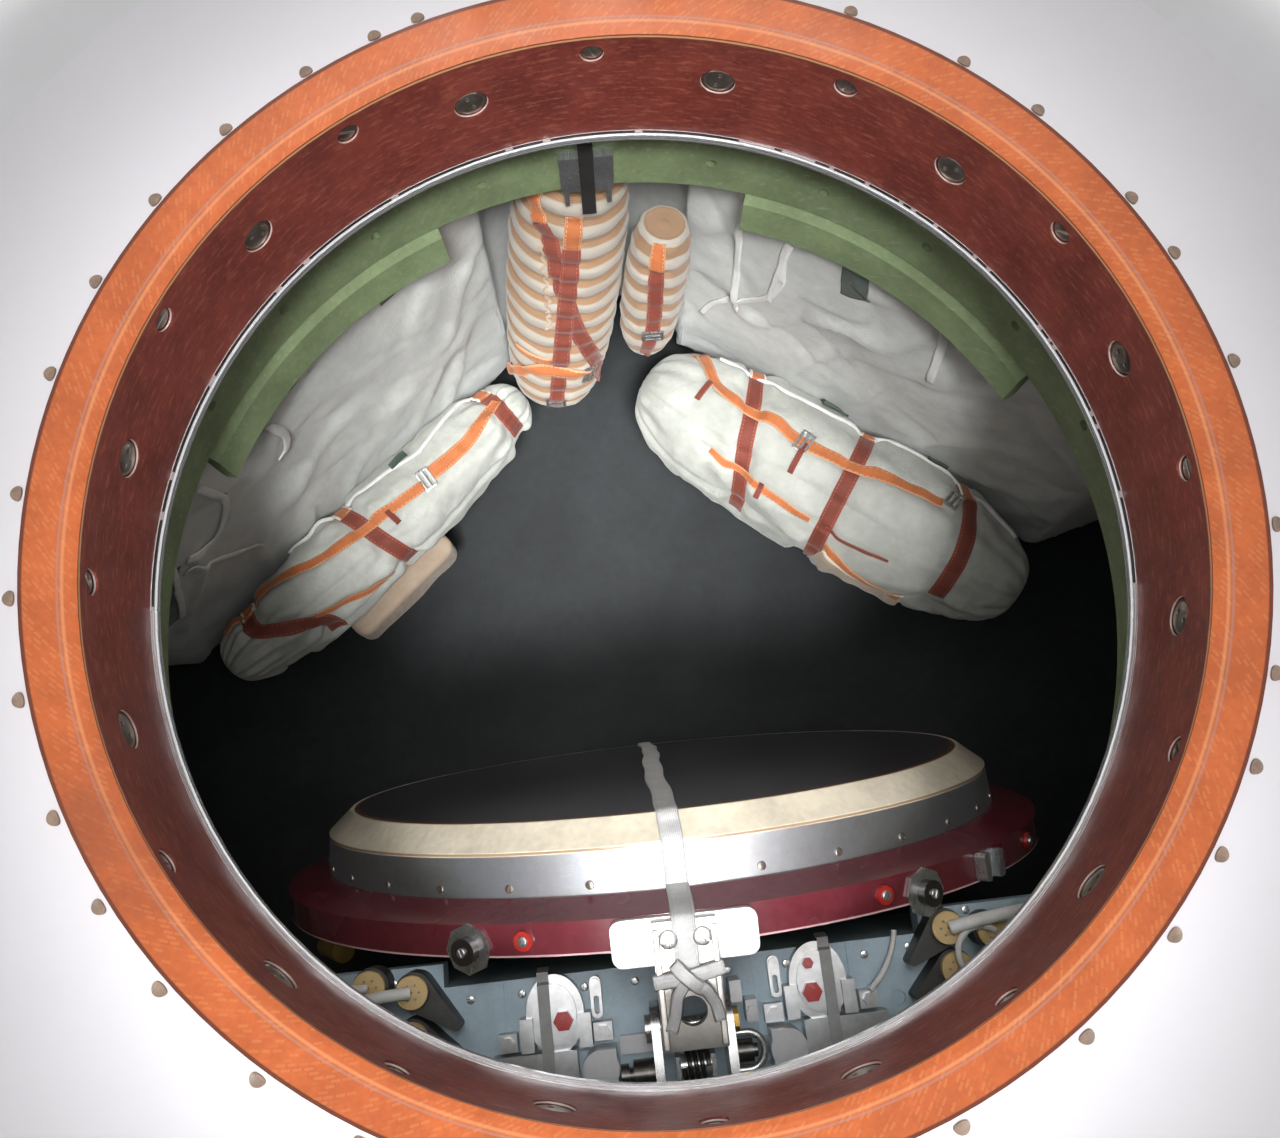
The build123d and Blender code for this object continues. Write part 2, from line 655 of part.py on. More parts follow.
with BuildPart() as fitting_straps:
    for side, (x, y), bolts, strap in FITTINGS:
        run = [(y + 29, top), (y + 27, top + 12), (y + 21, top + 12.6), (y + 20, top + 16.4), (y - 46, top + 16.4),
               (y - 48, top + 14), (y - 48, top + 2), (y - 54, top)]
        with BuildSketch(side_plane.offset(x + strap - 4)):
            with BuildLine():
                Polyline(*band(run[::-1], 1.2), close=True)
            make_face()
        extrude(amount=8)
finish(fitting_straps, "fitting_straps")

# blocks, hold-downs and lugs round the fittings
with BuildPart() as stop_blocks:
    for x in (-64, 64):
        with BuildSketch(console_top):
            with Locations((x, -WALL_R + 39)):
                Circle(12.5)
                with Locations((5.5 * -x / abs(x), 0)):
                    Rectangle(11, 25)
        extrude(amount=26)
finish(stop_blocks, "stop_blocks")

HOLD_DOWNS = ((-127, 60), (-61, 61), (58, 60), (125, 62))
LUGS = ((-64, 83), (62, 83))
with BuildPart() as hold_downs:
    for x, y in HOLD_DOWNS:
        with BuildSketch(console_top):
            with Locations((x, -WALL_R + y)):
                Rectangle(13, 12)
        extrude(amount=10)
        with BuildSketch(console_top.offset(10)):
            with Locations((x, -WALL_R + y)):
                RegularPolygon(4.5, 6)
        extrude(amount=4)
    for x, y in LUGS:
        with BuildSketch(console_top):
            with Locations((x, -WALL_R + y)):
                SlotOverall(28, 8, rotation=90)
            with Locations((x, -WALL_R + y - 5)):
                SlotOverall(12, 3.6, rotation=90, mode=Mode.SUBTRACT)
        extrude(amount=6)
        with BuildSketch(console_top.offset(6)):
            with Locations((x, -WALL_R + y + 9)):
                Circle(3.6)
        extrude(amount=3)
finish(hold_downs, "hold_downs")

# locking drum and plunger beside the hinge, with small posts, the shackle and the pin's nut
cheek_out = cheek_in + BASE_CHEEK_T
LOCKS = (
    # side, steps of (radius, length) outward, y from the pin, height over the console
    (-1, ((10, 14.5), (5, 3), (8, 5.5)), -29.6, 18),
    (1, ((8, 12), (4.5, 3)), -22.6, 17),
)
with BuildPart() as hinge_locks:
    for side, steps, y, z in LOCKS:
        x = side * cheek_out
        for size_r, length in steps:
            with BuildSketch(side_plane.offset(x)):
                with Locations((HINGE_Y + y, top + z)):
                    Circle(size_r)
            extrude(amount=side * length)
            x += side * length
finish(hinge_locks, "hinge_locks")

with BuildPart() as hinge_posts:
    for x, y, wide, deep, tall in ((32.2, 17.4, 8, 14, 26), (42, 3.4, 8, 14, 22), (-39.5, -11.6, 22, 12, 8)):
        with BuildSketch(console_top):
            with Locations((x, HINGE_Y + y)):
                Rectangle(wide, deep)
        extrude(amount=tall)
    with BuildSketch(console_top.offset(22)):
        with Locations((42, HINGE_Y + 3.4)):
            RegularPolygon(3.6, 6)
    extrude(amount=4)
finish(hinge_posts, "hinge_posts")

with BuildPart() as hinge_shackle:
    with BuildLine() as bow:
        y = HINGE_Y + LOCKS[1][2]
        leg = [(cheek_out, y + 12, top + 17), (cheek_out + 8, y + 12, top + 17)]
        back = [(cheek_out, y - 12, top + 17), (cheek_out + 8, y - 12, top + 17)]
        Line(*leg)
        ThreePointArc(leg[1], (cheek_out + 20, y, top + 17), back[1])
        Line(back[1], back[0])
    with BuildSketch(bow.line ^ 0):
        Circle(2.6)
    sweep()
finish(hinge_shackle, "hinge_shackle")

with BuildPart() as pin_nut:
    with BuildSketch(side_plane.offset(cheek_out)):
        with Locations((HINGE_Y, at(HINGE_Z))):
            RegularPolygon(8, 6)
            Circle(PIN_R, mode=Mode.SUBTRACT)
    extrude(amount=4)
finish(pin_nut, "pin_nut")

# round connectors on the ends of the console: rubber boots with tails, faces and cables
SOCKETS = (
    # side, places as (distance from the wall, azimuth, tail direction, tail length)
    ("left", ((27.9, -130.5, 0, 0), (41.2, -125.9, -43, 38), (15.3, -123.2, -27, 31))),
    ("right", ((45.1, -54.5, -142, 33), (21.7, -56.9, -150, 32), (22.3, -50.7, 0, 0))),
)
CABLES = (
    # side, radius, start, middle and end as (distance from the wall, azimuth, height over the console)
    ("left", 4.0, ((41.2, -125.9, 30.1), (26.0, -129.2, 33), (3, -132.4, 30))),
    ("left", 2.6, ((27.9, -130.5, 28.7), (16, -133.0, 29.5), (2, -135.0, 28))),
    ("left", 5.0, ((15.3, -123.2, 31.1), (16.5, -126.2, 34), (4, -129.0, 32))),
    ("right", 4.5, ((45.1, -54.5, 30.6), (29.0, -49.4, 34), (4, -44.6, 30))),
    ("right", 2.2, ((22.3, -50.7, 28.3), (33.0, -55.2, 31), (4, -55.0, 30))),
    ("right", 2.0, ((63.0, -59.6, 2.2), (51.0, -62.4, 6), (42.0, -66.8, 12.3))),
)


def spot_at(inset, azimuth, height=0.0):
    """Point inside the frame wall: distance from the wall, azimuth, height over the console."""
    r, a = WALL_R - inset, radians(azimuth)
    return (r * cos(a), r * sin(a), top + height)


for side, places in SOCKETS:
    with BuildPart() as boots:
        for inset, azimuth, turn, tail in places:
            x, y, z = spot_at(inset, azimuth)
            with BuildSketch(console_top):
                with Locations((x, y)):
                    Circle(12.5)
                if tail:
                    tip = (x + tail * cos(radians(turn)), y + tail * sin(radians(turn)))
                    with Locations(tip):
                        Circle(3)
                    make_hull()
            extrude(amount=20)
    finish(boots, f"boots_{side}")
    with BuildPart() as connectors:
        for inset, azimuth, turn, tail in places:
            with BuildSketch(console_top.offset(20)):
                with Locations(spot_at(inset, azimuth)[:2]):
                    Circle(10.5)
            extrude(amount=6)
    finish(connectors, f"connectors_{side}")
    with BuildPart() as cables:
        for owner, size_r, route in CABLES:
            if owner == side:
                with BuildLine() as line:
                    ThreePointArc(*[spot_at(*point) for point in route])
                with BuildSketch(line.line ^ 0):
                    Circle(size_r)
                sweep(path=line.line)
    finish(cables, f"cables_{side}")

# striped laced bags in the corner between the covers, hung from the clamp
ROLLS = (
    # node, top middle, foot middle, belly radius, end radius
    ("bag_striped", (-14, 424, -166), (-62, 352, -486), 60, 46),
    ("bag_small", (61, 371, -215), (41, 341, -390), 33, 22),
)
for name, head, foot, belly, end_r in ROLLS:
    a, b = Vector(head[0], head[1], at(head[2])), Vector(foot[0], foot[1], at(foot[2]))
    along = (a - b).normalized()
    if name == "bag_striped":
        bag_top, bag_up = a, along
    roll = Plane(origin=b, x_dir=along, z_dir=along.cross(Vector(1, 0, 0)).normalized())
    tall = (a - b).length
    with BuildPart() as bag:
        with BuildSketch(roll):
            with BuildLine():
                Line((0, 0), (tall, 0))
                Line((tall, 0), (tall, end_r))
                Spline((tall, end_r), (tall * 0.93, belly * 0.88), (tall * 0.72, belly * 0.98), (tall * 0.5, belly),
                       (tall * 0.28, belly * 0.98), (tall * 0.07, belly * 0.88), (0, end_r))
                Line((0, end_r), (0, 0))
            make_face()
        revolve(axis=Axis(b, along))
    finish(bag, name)

clamp_x = ROLLS[0][1][0] + 6
with BuildPart() as bag_clamp:
    for x in (clamp_x - 20, clamp_x + 16):
        with BuildSketch(side_plane.offset(x)):
            with BuildLine():
                Polyline((WALL_R - CLAMP_T, at(-118)), (WALL_R - 4, at(-118)), (WALL_R - 4, at(WALL_FOOT - 1)),
                         (FOOT_R - 2, at(WALL_FOOT - 1)), (FOOT_R + 8, at(WALL_FOOT - 10)),
                         (FOOT_R + 26, at(WALL_FOOT - 12)), (FOOT_R + 26, at(WALL_FOOT - 45)),
                         (FOOT_R + 6, at(WALL_FOOT - 45)), (WALL_R - CLAMP_T, at(WALL_FOOT - 16)), close=True)
            make_face()
        extrude(amount=4)
    split(bisect_by=Plane(origin=bag_top + bag_up * FIT, z_dir=bag_up), keep=Keep.TOP)
    with BuildSketch(Plane.XY.offset(at(-126))):
        with Locations((clamp_x, WALL_R - CLAMP_T / 2)):
            Rectangle(44, CLAMP_T)
        Circle(WALL_R, mode=Mode.INTERSECT)
    extrude(amount=46)
finish(bag_clamp, "bag_clamp")

with BuildPart() as clamp_bar:
    with BuildSketch(Plane.XY.offset(at(-156))):
        with Locations((clamp_x, WALL_R - CLAMP_T - 1.5)):
            Rectangle(12, 3)
    extrude(amount=96)
finish(clamp_bar, "clamp_bar")

# small pouch under the left bag
spot = left_lay.origin + left_lay.x_dir * 30 + Vector(left_lay.z_dir.X, left_lay.z_dir.Y, 0) * 30
with BuildPart() as pouch_left:
    with BuildSketch(Plane(origin=(spot.X, spot.Y, left_lay.origin.Z - left_r - FIT),
                           x_dir=left_lay.x_dir, z_dir=(0, 0, 1))):
        RectangleRounded(160, 62, 14)
    extrude(amount=-52)
    fillet(pouch_left.edges().group_by(Axis.Z)[0], 10)
finish(pouch_left, "pouch_left")
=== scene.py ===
"""Dresses the hatch section of a descent capsule: camera, light, finishes and fine pieces.

Lengths in the classes are millimetres. Heights count from the hatch seat, the upper face of
the bright rim ring, and spot() turns both into the metres of the shared frame.
"""

import logging
from dataclasses import dataclass, field
from enum import Enum
from math import cos, exp, hypot, pi, radians, sin, sqrt, tan
from typing import Callable, Protocol, Sequence

import bpy
from mathutils import Matrix, Vector, noise


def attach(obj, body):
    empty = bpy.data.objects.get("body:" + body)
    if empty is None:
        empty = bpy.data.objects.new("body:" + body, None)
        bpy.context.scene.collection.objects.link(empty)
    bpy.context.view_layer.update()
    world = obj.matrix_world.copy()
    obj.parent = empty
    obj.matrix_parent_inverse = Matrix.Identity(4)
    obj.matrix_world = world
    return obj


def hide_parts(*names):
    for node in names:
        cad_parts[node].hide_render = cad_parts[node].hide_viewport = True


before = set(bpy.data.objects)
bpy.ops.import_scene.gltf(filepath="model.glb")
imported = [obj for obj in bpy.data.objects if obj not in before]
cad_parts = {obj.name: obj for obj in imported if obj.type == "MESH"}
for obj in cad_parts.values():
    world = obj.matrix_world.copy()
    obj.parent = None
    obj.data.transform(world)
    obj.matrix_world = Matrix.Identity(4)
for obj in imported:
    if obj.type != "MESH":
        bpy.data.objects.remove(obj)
log = logging.getLogger("hatch_section")

MM = 0.001
SEAT_Z = 820.0          # hatch seat above the foot
DECK_Z = 112.0          # flat white deck above the seat
TUNNEL_R = 320.0        # bore of the collar
CONSOLE_Z = -130.0      # console top
WELD = 0.00005          # vertices of a CAD mesh closer than this are one, in metres
UPWARD = 0.9            # least Z of the normal of a face that counts as a top

Pair = tuple[float, float]
Triple = tuple[float, float, float]
Path = tuple[Pair, ...]
Spans = tuple[tuple[str, float, Path], ...]     # finish, width and path of each strap
Piece = bpy.types.Object
Finish = bpy.types.Material
Socket = bpy.types.NodeSocket
Tree = bpy.types.NodeTree


def spot(x: float, y: float, height: float) -> Vector:
    """Point of the shared frame, in metres, from millimetres and a height over the seat."""
    return Vector((x * MM, y * MM, (SEAT_Z + height) * MM))


def polar(radius: float, azimuth: float, height: float) -> Vector:
    """Point at a radius and azimuth round the hatch axis, in metres."""
    a = radians(azimuth)
    return spot(radius * cos(a), radius * sin(a), height)


def seated(origin: Vector, out: Vector, turn: float = 0.0) -> Matrix:
    """Placement that stands a piece modelled on +Z at a point of a surface.

    Args:
        origin: where the piece's foot goes, in metres.
        out: direction that its +Z takes.
        turn: rotation about that direction, in degrees.

    Returns:
        The 4x4 placement.
    """
    side = out.cross(Vector((0, 0, 1)))
    if side.length < 1e-4:
        side = Vector((1, 0, 0))
    basis = Matrix((side.normalized(), out.cross(side).normalized(), out.normalized())).transposed()
    return Matrix.Translation(origin) @ basis.to_4x4() @ Matrix.Rotation(radians(turn), 4, "Z")


class Body(Enum):
    """The two bodies that a piece can ride on."""

    SECTION = "section"
    LID = "lid"


class Weave(Enum):
    """Which coordinates a cloth's weave follows."""

    LAID = "UV"
    SOLID = "Object"


# ---------------------------------------------------------------- workbench


class Bench:
    """Modelling moves that every sub-assembly shares."""

    @staticmethod
    def clear() -> None:
        """Leave edit mode and deselect everything."""
        if bpy.context.object and bpy.context.object.mode != "OBJECT":
            bpy.ops.object.mode_set(mode="OBJECT")
        bpy.ops.object.select_all(action="DESELECT")

    @staticmethod
    def take(obj: Piece) -> Piece:
        """Make one object the only selected and active one."""
        Bench.clear()
        bpy.context.view_layer.objects.active = obj
        obj.select_set(True)
        return obj

    @staticmethod
    def faces(obj: Piece, test: Callable[[Vector, Vector], bool]) -> None:
        """Enter edit mode with the faces selected that pass a test.

        Args:
            obj: the mesh object.
            test: takes a face's centre and normal.
        """
        Bench.take(obj)
        bpy.ops.object.mode_set(mode="EDIT")
        bpy.ops.mesh.select_mode(type="FACE")
        bpy.ops.mesh.select_all(action="DESELECT")
        bpy.ops.object.mode_set(mode="OBJECT")
        for face in obj.data.polygons:
            face.select = test(face.center, face.normal)
        bpy.ops.object.mode_set(mode="EDIT")

    @staticmethod
    def cylinder(name: str, radius: float, low: float, high: float, sides: int = 24) -> Piece:
        """Upright cylinder on the Z axis between two heights, in millimetres."""
        Bench.clear()
        bpy.ops.mesh.primitive_cylinder_add(vertices=sides, radius=radius * MM, depth=(high - low) * MM,
                                            location=(0, 0, (high + low) / 2 * MM))
        obj = bpy.context.object
        obj.name = name
        bpy.ops.object.transform_apply(location=True, rotation=True, scale=True)
        return obj

    @staticmethod
    def block(name: str, size: Triple, middle: Triple = (0, 0, 0)) -> Piece:
        """Block of a size at a middle point, in millimetres."""
        Bench.clear()
        bpy.ops.mesh.primitive_cube_add(size=1, location=[v * MM for v in middle])
        obj = bpy.context.object
        obj.name = name
        obj.scale = [v * MM for v in size]
        bpy.ops.object.transform_apply(location=True, rotation=True, scale=True)
        return obj

    @staticmethod
    def inset(obj: Piece, test: Callable[[Vector, Vector], bool], margin: float, lift: float) -> None:
        """Inset the chosen faces and raise or sink what is inside along Z, in millimetres."""
        Bench.faces(obj, test)
        bpy.ops.mesh.inset(thickness=margin * MM, depth=0)
        bpy.ops.transform.translate(value=(0, 0, lift * MM))
        bpy.ops.object.mode_set(mode="OBJECT")

    @staticmethod
    def reshape(obj: Piece, kind: str, **settings: object) -> None:
        """Put a modifier with its settings on the active piece and apply it."""
        made = obj.modifiers.new(kind.lower(), kind)
        for label, value in settings.items():
            setattr(made, label, value)
        bpy.ops.object.modifier_apply(modifier=made.name)

    @staticmethod
    def tops(obj: Piece, margin: float, lift: float) -> None:
        """Inset the faces that look up, and raise or sink what is inside, in millimetres."""
        Bench.inset(obj, lambda c, n: n.z > UPWARD, margin, lift)

    @staticmethod
    def cut(obj: Piece, tool: Piece) -> None:
        """Subtract a tool from a piece and throw the tool away."""
        Bench.take(obj)
        Bench.reshape(obj, "BOOLEAN", operation="DIFFERENCE", solver="EXACT", object=tool)
        bpy.data.objects.remove(tool, do_unlink=True)

    @staticmethod
    def bevel(obj: Piece, width: float, segments: int = 2, angle: float = 40) -> Piece:
        """Round a piece's sharp edges, in millimetres, and shade it smooth by angle."""
        Bench.take(obj)
        Bench.reshape(obj, "BEVEL", width=width * MM, segments=segments, limit_method="ANGLE",
                      angle_limit=radians(angle), harden_normals=False)
        bpy.ops.object.shade_smooth_by_angle(angle=radians(35))
        return obj

    @staticmethod
    def soft_copy(node: str, name: str, voxel: float) -> Piece:
        """Copy of a CAD node as one even mesh, for the soft piece that replaces it."""
        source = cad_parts[node]
        obj = source.copy()
        obj.data = source.data.copy()
        obj.parent = None
        obj.matrix_world = Matrix.Identity(4)
        bpy.context.collection.objects.link(obj)
        obj.name = name
        Bench.take(obj)
        bpy.ops.object.mode_set(mode="EDIT")
        bpy.ops.mesh.select_all(action="SELECT")
        bpy.ops.mesh.remove_doubles(threshold=WELD)
        bpy.ops.object.mode_set(mode="OBJECT")
        Bench.reshape(obj, "REMESH", mode="VOXEL", voxel_size=voxel * MM)
        return obj

    @staticmethod
    def stamp(proto: Piece, places: Sequence[Matrix], name: str) -> Piece:
        """Copy a piece to many places, each copy with its own mesh, and join the copies."""
        copies = []
        for place in places:
            copy = proto.copy()
            copy.data = proto.data.copy()
            copy.data.transform(place)
            bpy.context.collection.objects.link(copy)
            copies.append(copy)
        bpy.data.objects.remove(proto, do_unlink=True)
        Bench.take(copies[0])
        for copy in copies:
            copy.select_set(True)
        if len(copies) > 1:
            bpy.ops.object.join()
        obj = bpy.context.view_layer.objects.active
        obj.name = obj.data.name = name
        return obj

    @staticmethod
    def skin(name: str, rows: Sequence[Sequence[Vector]], around: bool, ends: bool = False) -> Piece:
        """Mesh over rows of points with a UV map that runs once along and once across.

        Args:
            name: name of the new piece.
            rows: equally long rows of points, in metres.
            around: whether each row closes on itself.
            ends: whether the first and last rows are capped.

        Returns:
            The new object, shaded smooth, faces outward.
        """
        wide, tall = len(rows[0]), len(rows)
        turns = wide if around else wide - 1
        points = [p for row in rows for p in row]
        quads, spread = [], []
        for j in range(tall - 1):
            for i in range(turns):
                k = (i + 1) % wide
                quads.append((j * wide + i, j * wide + k, (j + 1) * wide + k, (j + 1) * wide + i))
                spread += [(i, j), (i + 1, j), (i + 1, j + 1), (i, j + 1)]
        if ends:
            for j, row in ((0, rows[0]), (tall - 1, rows[-1])):
                points.append(sum(row, Vector()) / wide)
                hub = len(points) - 1
                for i in range(turns):
                    k = (i + 1) % wide
                    quads.append((j * wide + k, j * wide + i, hub) if j == 0 else (j * wide + i, j * wide + k,
                                                                                   hub))
                    spread += [(i, j)] * 3
        mesh = bpy.data.meshes.new(name)
        mesh.from_pydata(points, [], quads)
        uv = mesh.uv_layers.new(name="UVMap")
        for loop, (i, j) in zip(uv.data, spread):
            loop.uv = (i / turns, j / (tall - 1))
        obj = bpy.data.objects.new(name, mesh)
        bpy.context.collection.objects.link(obj)
        Bench.take(obj)
        if ends or around:
            bpy.ops.object.mode_set(mode="EDIT")
            bpy.ops.mesh.select_all(action="SELECT")
            bpy.ops.mesh.normals_make_consistent(inside=False)
            bpy.ops.object.mode_set(mode="OBJECT")
        bpy.ops.object.shade_smooth()
        return obj

    @staticmethod
    def tube(name: str, points: Sequence[Vector], radius: float) -> Piece:
        """Round tube along control points in metres, with a radius in millimetres."""
        curve = bpy.data.curves.new(name, "CURVE")
        curve.dimensions, curve.bevel_depth, curve.use_fill_caps = "3D", radius * MM, True
        curve.bevel_resolution, curve.resolution_u = 3, 6
        line = curve.splines.new("NURBS")
        line.points.add(len(points) - 1)
        for knot, p in zip(line.points, points):
            knot.co = (*p, 1)
        line.order_u, line.use_endpoint_u = 3, True
        obj = bpy.data.objects.new(name, curve)
        bpy.context.collection.objects.link(obj)
        Bench.take(obj)
        bpy.ops.object.convert(target="MESH")
        bpy.ops.object.shade_smooth()
        return bpy.context.object

    @staticmethod
    def fit(obj: Piece, finish: Finish, slot: str, body: Body = Body.SECTION) -> Piece:
        """Give a new piece its finish and let it ride on a body."""
        obj.data.materials.clear()
        obj.data.materials.append(finish)
        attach(obj, body.value)
        log.info("piece %s", obj.name)
        return obj


# ---------------------------------------------------------------- finishes


def group_of(name: str, ins: Sequence[tuple[str, str, object]], outs: Sequence[tuple[str, str]]) -> Tree:
    """New shader node group with named sockets.

    Args:
        name: name of the group.
        ins: socket type, name and default of each input.
        outs: socket type and name of each output.

    Returns:
        The empty group with its input and output nodes.
    """
    tree = bpy.data.node_groups.new(name, "ShaderNodeTree")
    for kind, label, value in ins:
        made = tree.interface.new_socket(label, in_out="INPUT", socket_type=f"NodeSocket{kind}")
        if value is not None:
            made.default_value = value
    for kind, label in outs:
        tree.interface.new_socket(label, in_out="OUTPUT", socket_type=f"NodeSocket{kind}")
    tree.nodes.new("NodeGroupInput").name = "in"
    tree.nodes.new("NodeGroupOutput").name = "out"
    return tree


class Wiring:
    """Short ways to add and join nodes in one tree."""

    def __init__(self, tree: Tree) -> None:
        """Work on one node tree."""
        self.tree = tree

    def feed(self, target: Socket, value: object) -> None:
        """Join a socket to an input, or set the input to a plain value."""
        if isinstance(value, Socket):
            self.tree.links.new(value, target)
        else:
            target.default_value = value

    def node(self, kind: str, **values: object) -> bpy.types.Node:
        """Add a node and set its properties or inputs; a socket as a value is joined."""
        made = self.tree.nodes.new(f"ShaderNode{kind}")
        for label, value in values.items():
            if hasattr(made, label) and label not in made.inputs:
                setattr(made, label, value)
            else:
                self.feed(made.inputs[label.replace("_", " ")], value)
        return made

    def math(self, kind: str, *terms: object, clamp: bool = False) -> Socket:
        """Math node on sockets or numbers, and its result."""
        made = self.node("Math", operation=kind, use_clamp=clamp)
        for target, term in zip(made.inputs, terms):
            self.feed(target, term)
        return made.outputs[0]

    def times(self, *terms: object, clamp: bool = False) -> Socket:
        """Product of two sockets or numbers."""
        return self.math("MULTIPLY", *terms, clamp=clamp)

    def plus(self, *terms: object, clamp: bool = False) -> Socket:
        """Sum of two sockets or numbers."""
        return self.math("ADD", *terms, clamp=clamp)

    def mix(self, factor: object, a: object, b: object) -> Socket:
        """Colour mix of sockets or colours, and its result."""
        made = self.node("Mix", data_type="RGBA")
        self.feed(made.inputs[0], factor)
        for slot, tone in ((6, a), (7, b)):
            self.feed(made.inputs[slot], tone if isinstance(tone, Socket) else (*tone[:3], 1))
        return made.outputs[2]

    def noise(self, vector: object, scale: object, detail: float = 4, rough: float = 0.55) -> Socket:
        """Noise factor over a vector."""
        made = self.node("TexNoise", Vector=vector, Scale=scale, Detail=detail, Roughness=rough)
        return made.outputs["Fac"]

    def band(self, value: object, low: float, high: float, soft: float) -> Socket:
        """1 between two values and 0 outside, with soft ends."""
        up = self.ramp(value, low - soft, low + soft)
        down = self.ramp(value, high - soft, high + soft)
        return self.math("SUBTRACT", up, down, clamp=True)

    def ramp(self, value: object, low: float, high: float, a: float = 0.0, b: float = 1.0) -> Socket:
        """Clamped linear map of a value from low..high to a..b."""
        made = self.node("MapRange", Value=value, From_Min=low, From_Max=high, To_Min=a, To_Max=b)
        return made.outputs["Result"]


class Effects:
    """Shader groups that more than one finish uses, each built once."""

    def __init__(self) -> None:
        """Build every shared group."""
        self.mottle = self._mottle()
        self.grain = self._grain()
        self.weave = self._weave()
        self.around = self._around()
        self.scratches = self._scratches()

    @staticmethod
    def _mottle() -> Tree:
        """Two colours that drift into each other, with small spots."""
        tree = group_of("mottle", (("Vector", "Vector", None), ("Color", "Color A", (1, 1, 1, 1)),
                                   ("Color", "Color B", (0, 0, 0, 1)), ("Float", "Scale", 20.0),
                                   ("Float", "Spread", 0.5)), (("Color", "Color"), ("Float", "Mask")))
        w, i, o = Wiring(tree), tree.nodes["in"].outputs, tree.nodes["out"].inputs
        broad = w.noise(i["Vector"], i["Scale"], 4, 0.62)
        fine = w.noise(i["Vector"], w.times(i["Scale"], 9.0), 2)
        both = w.plus(w.times(broad, 0.72), w.times(fine, 0.28))
        mask = w.times(w.ramp(both, 0.38, 0.62), i["Spread"], clamp=True)
        tree.links.new(w.mix(mask, i["Color A"], i["Color B"]), o["Color"])
        tree.links.new(mask, o["Mask"])
        return tree

    @staticmethod
    def _grain() -> Tree:
        """Fine height and a roughness that varies, for paint, rubber and cast faces."""
        tree = group_of("grain", (("Vector", "Vector", None), ("Float", "Scale", 400.0),
                                  ("Float", "Roughness", 0.5),
                                  ("Float", "Vary", 0.1)), (("Float", "Height"), ("Float", "Roughness")))
        w, i, o = Wiring(tree), tree.nodes["in"].outputs, tree.nodes["out"].inputs
        fine = w.noise(i["Vector"], i["Scale"], 2, 0.6)
        broad = w.noise(i["Vector"], w.times(i["Scale"], 0.04), 2, 0.6)
        tree.links.new(fine, o["Height"])
        swing = w.times(w.math("SUBTRACT", broad, 0.5), i["Vary"])
        tree.links.new(w.plus(i["Roughness"], w.times(swing, 2.0), clamp=True),
                       o["Roughness"])
        return tree

    @staticmethod
    def _weave() -> Tree:
        """Over-and-under threads in the X and Y of a vector."""
        tree = group_of("weave", (("Vector", "Vector", None), ("Float", "Threads", 900.0)),
                        (("Float", "Height"), ("Float", "Gap")))
        w, i, o = Wiring(tree), tree.nodes["in"].outputs, tree.nodes["out"].inputs
        split = w.node("SeparateXYZ", Vector=i["Vector"])
        wave = [w.math("SINE", w.times(split.outputs[k], i["Threads"])) for k in (0, 1)]
        over = w.times(wave[0], wave[1])
        edge = w.times(w.math("ABSOLUTE", wave[0]), w.math("ABSOLUTE", wave[1]))
        tree.links.new(w.plus(w.times(over, 0.35), w.math("SQRT", edge)), o["Height"])
        tree.links.new(w.ramp(edge, 0.0, 0.18, 1.0, 0.0), o["Gap"])
        return tree

    @staticmethod
    def _around() -> Tree:
        """Angle, radius and height round the Z axis of a vector."""
        tree = group_of("around", (("Vector", "Vector", None),),
                        (("Float", "Degrees"), ("Float", "Radius"), ("Float", "Height")))
        w, i, o = Wiring(tree), tree.nodes["in"].outputs, tree.nodes["out"].inputs
        split = w.node("SeparateXYZ", Vector=i["Vector"])
        x, y, z = split.outputs
        tree.links.new(w.times(w.math("ARCTAN2", y, x), 180 / pi), o["Degrees"])
        square = w.plus(w.times(x, x), w.times(y, y))
        tree.links.new(w.math("SQRT", square), o["Radius"])
        tree.links.new(z, o["Height"])
        return tree

    @staticmethod
    def _scratches() -> Tree:
        """Thin long streaks along X of a vector."""
        tree = group_of("scratches", (("Vector", "Vector", None), ("Float", "Scale", 300.0),
                                      ("Float", "Stretch", 0.03)),
                        (("Float", "Mask"), ("Float", "Height")))
        w, i, o = Wiring(tree), tree.nodes["in"].outputs, tree.nodes["out"].inputs
        split = w.node("SeparateXYZ", Vector=i["Vector"])
        long = w.node("CombineXYZ", X=w.times(split.outputs[0], i["Stretch"]),
                      Y=split.outputs[1], Z=split.outputs[2])
        fine = w.noise(long.outputs[0], i["Scale"], 3, 0.7)
        tree.links.new(w.ramp(fine, 0.58, 0.72), o["Mask"])
        tree.links.new(fine, o["Height"])
        return tree


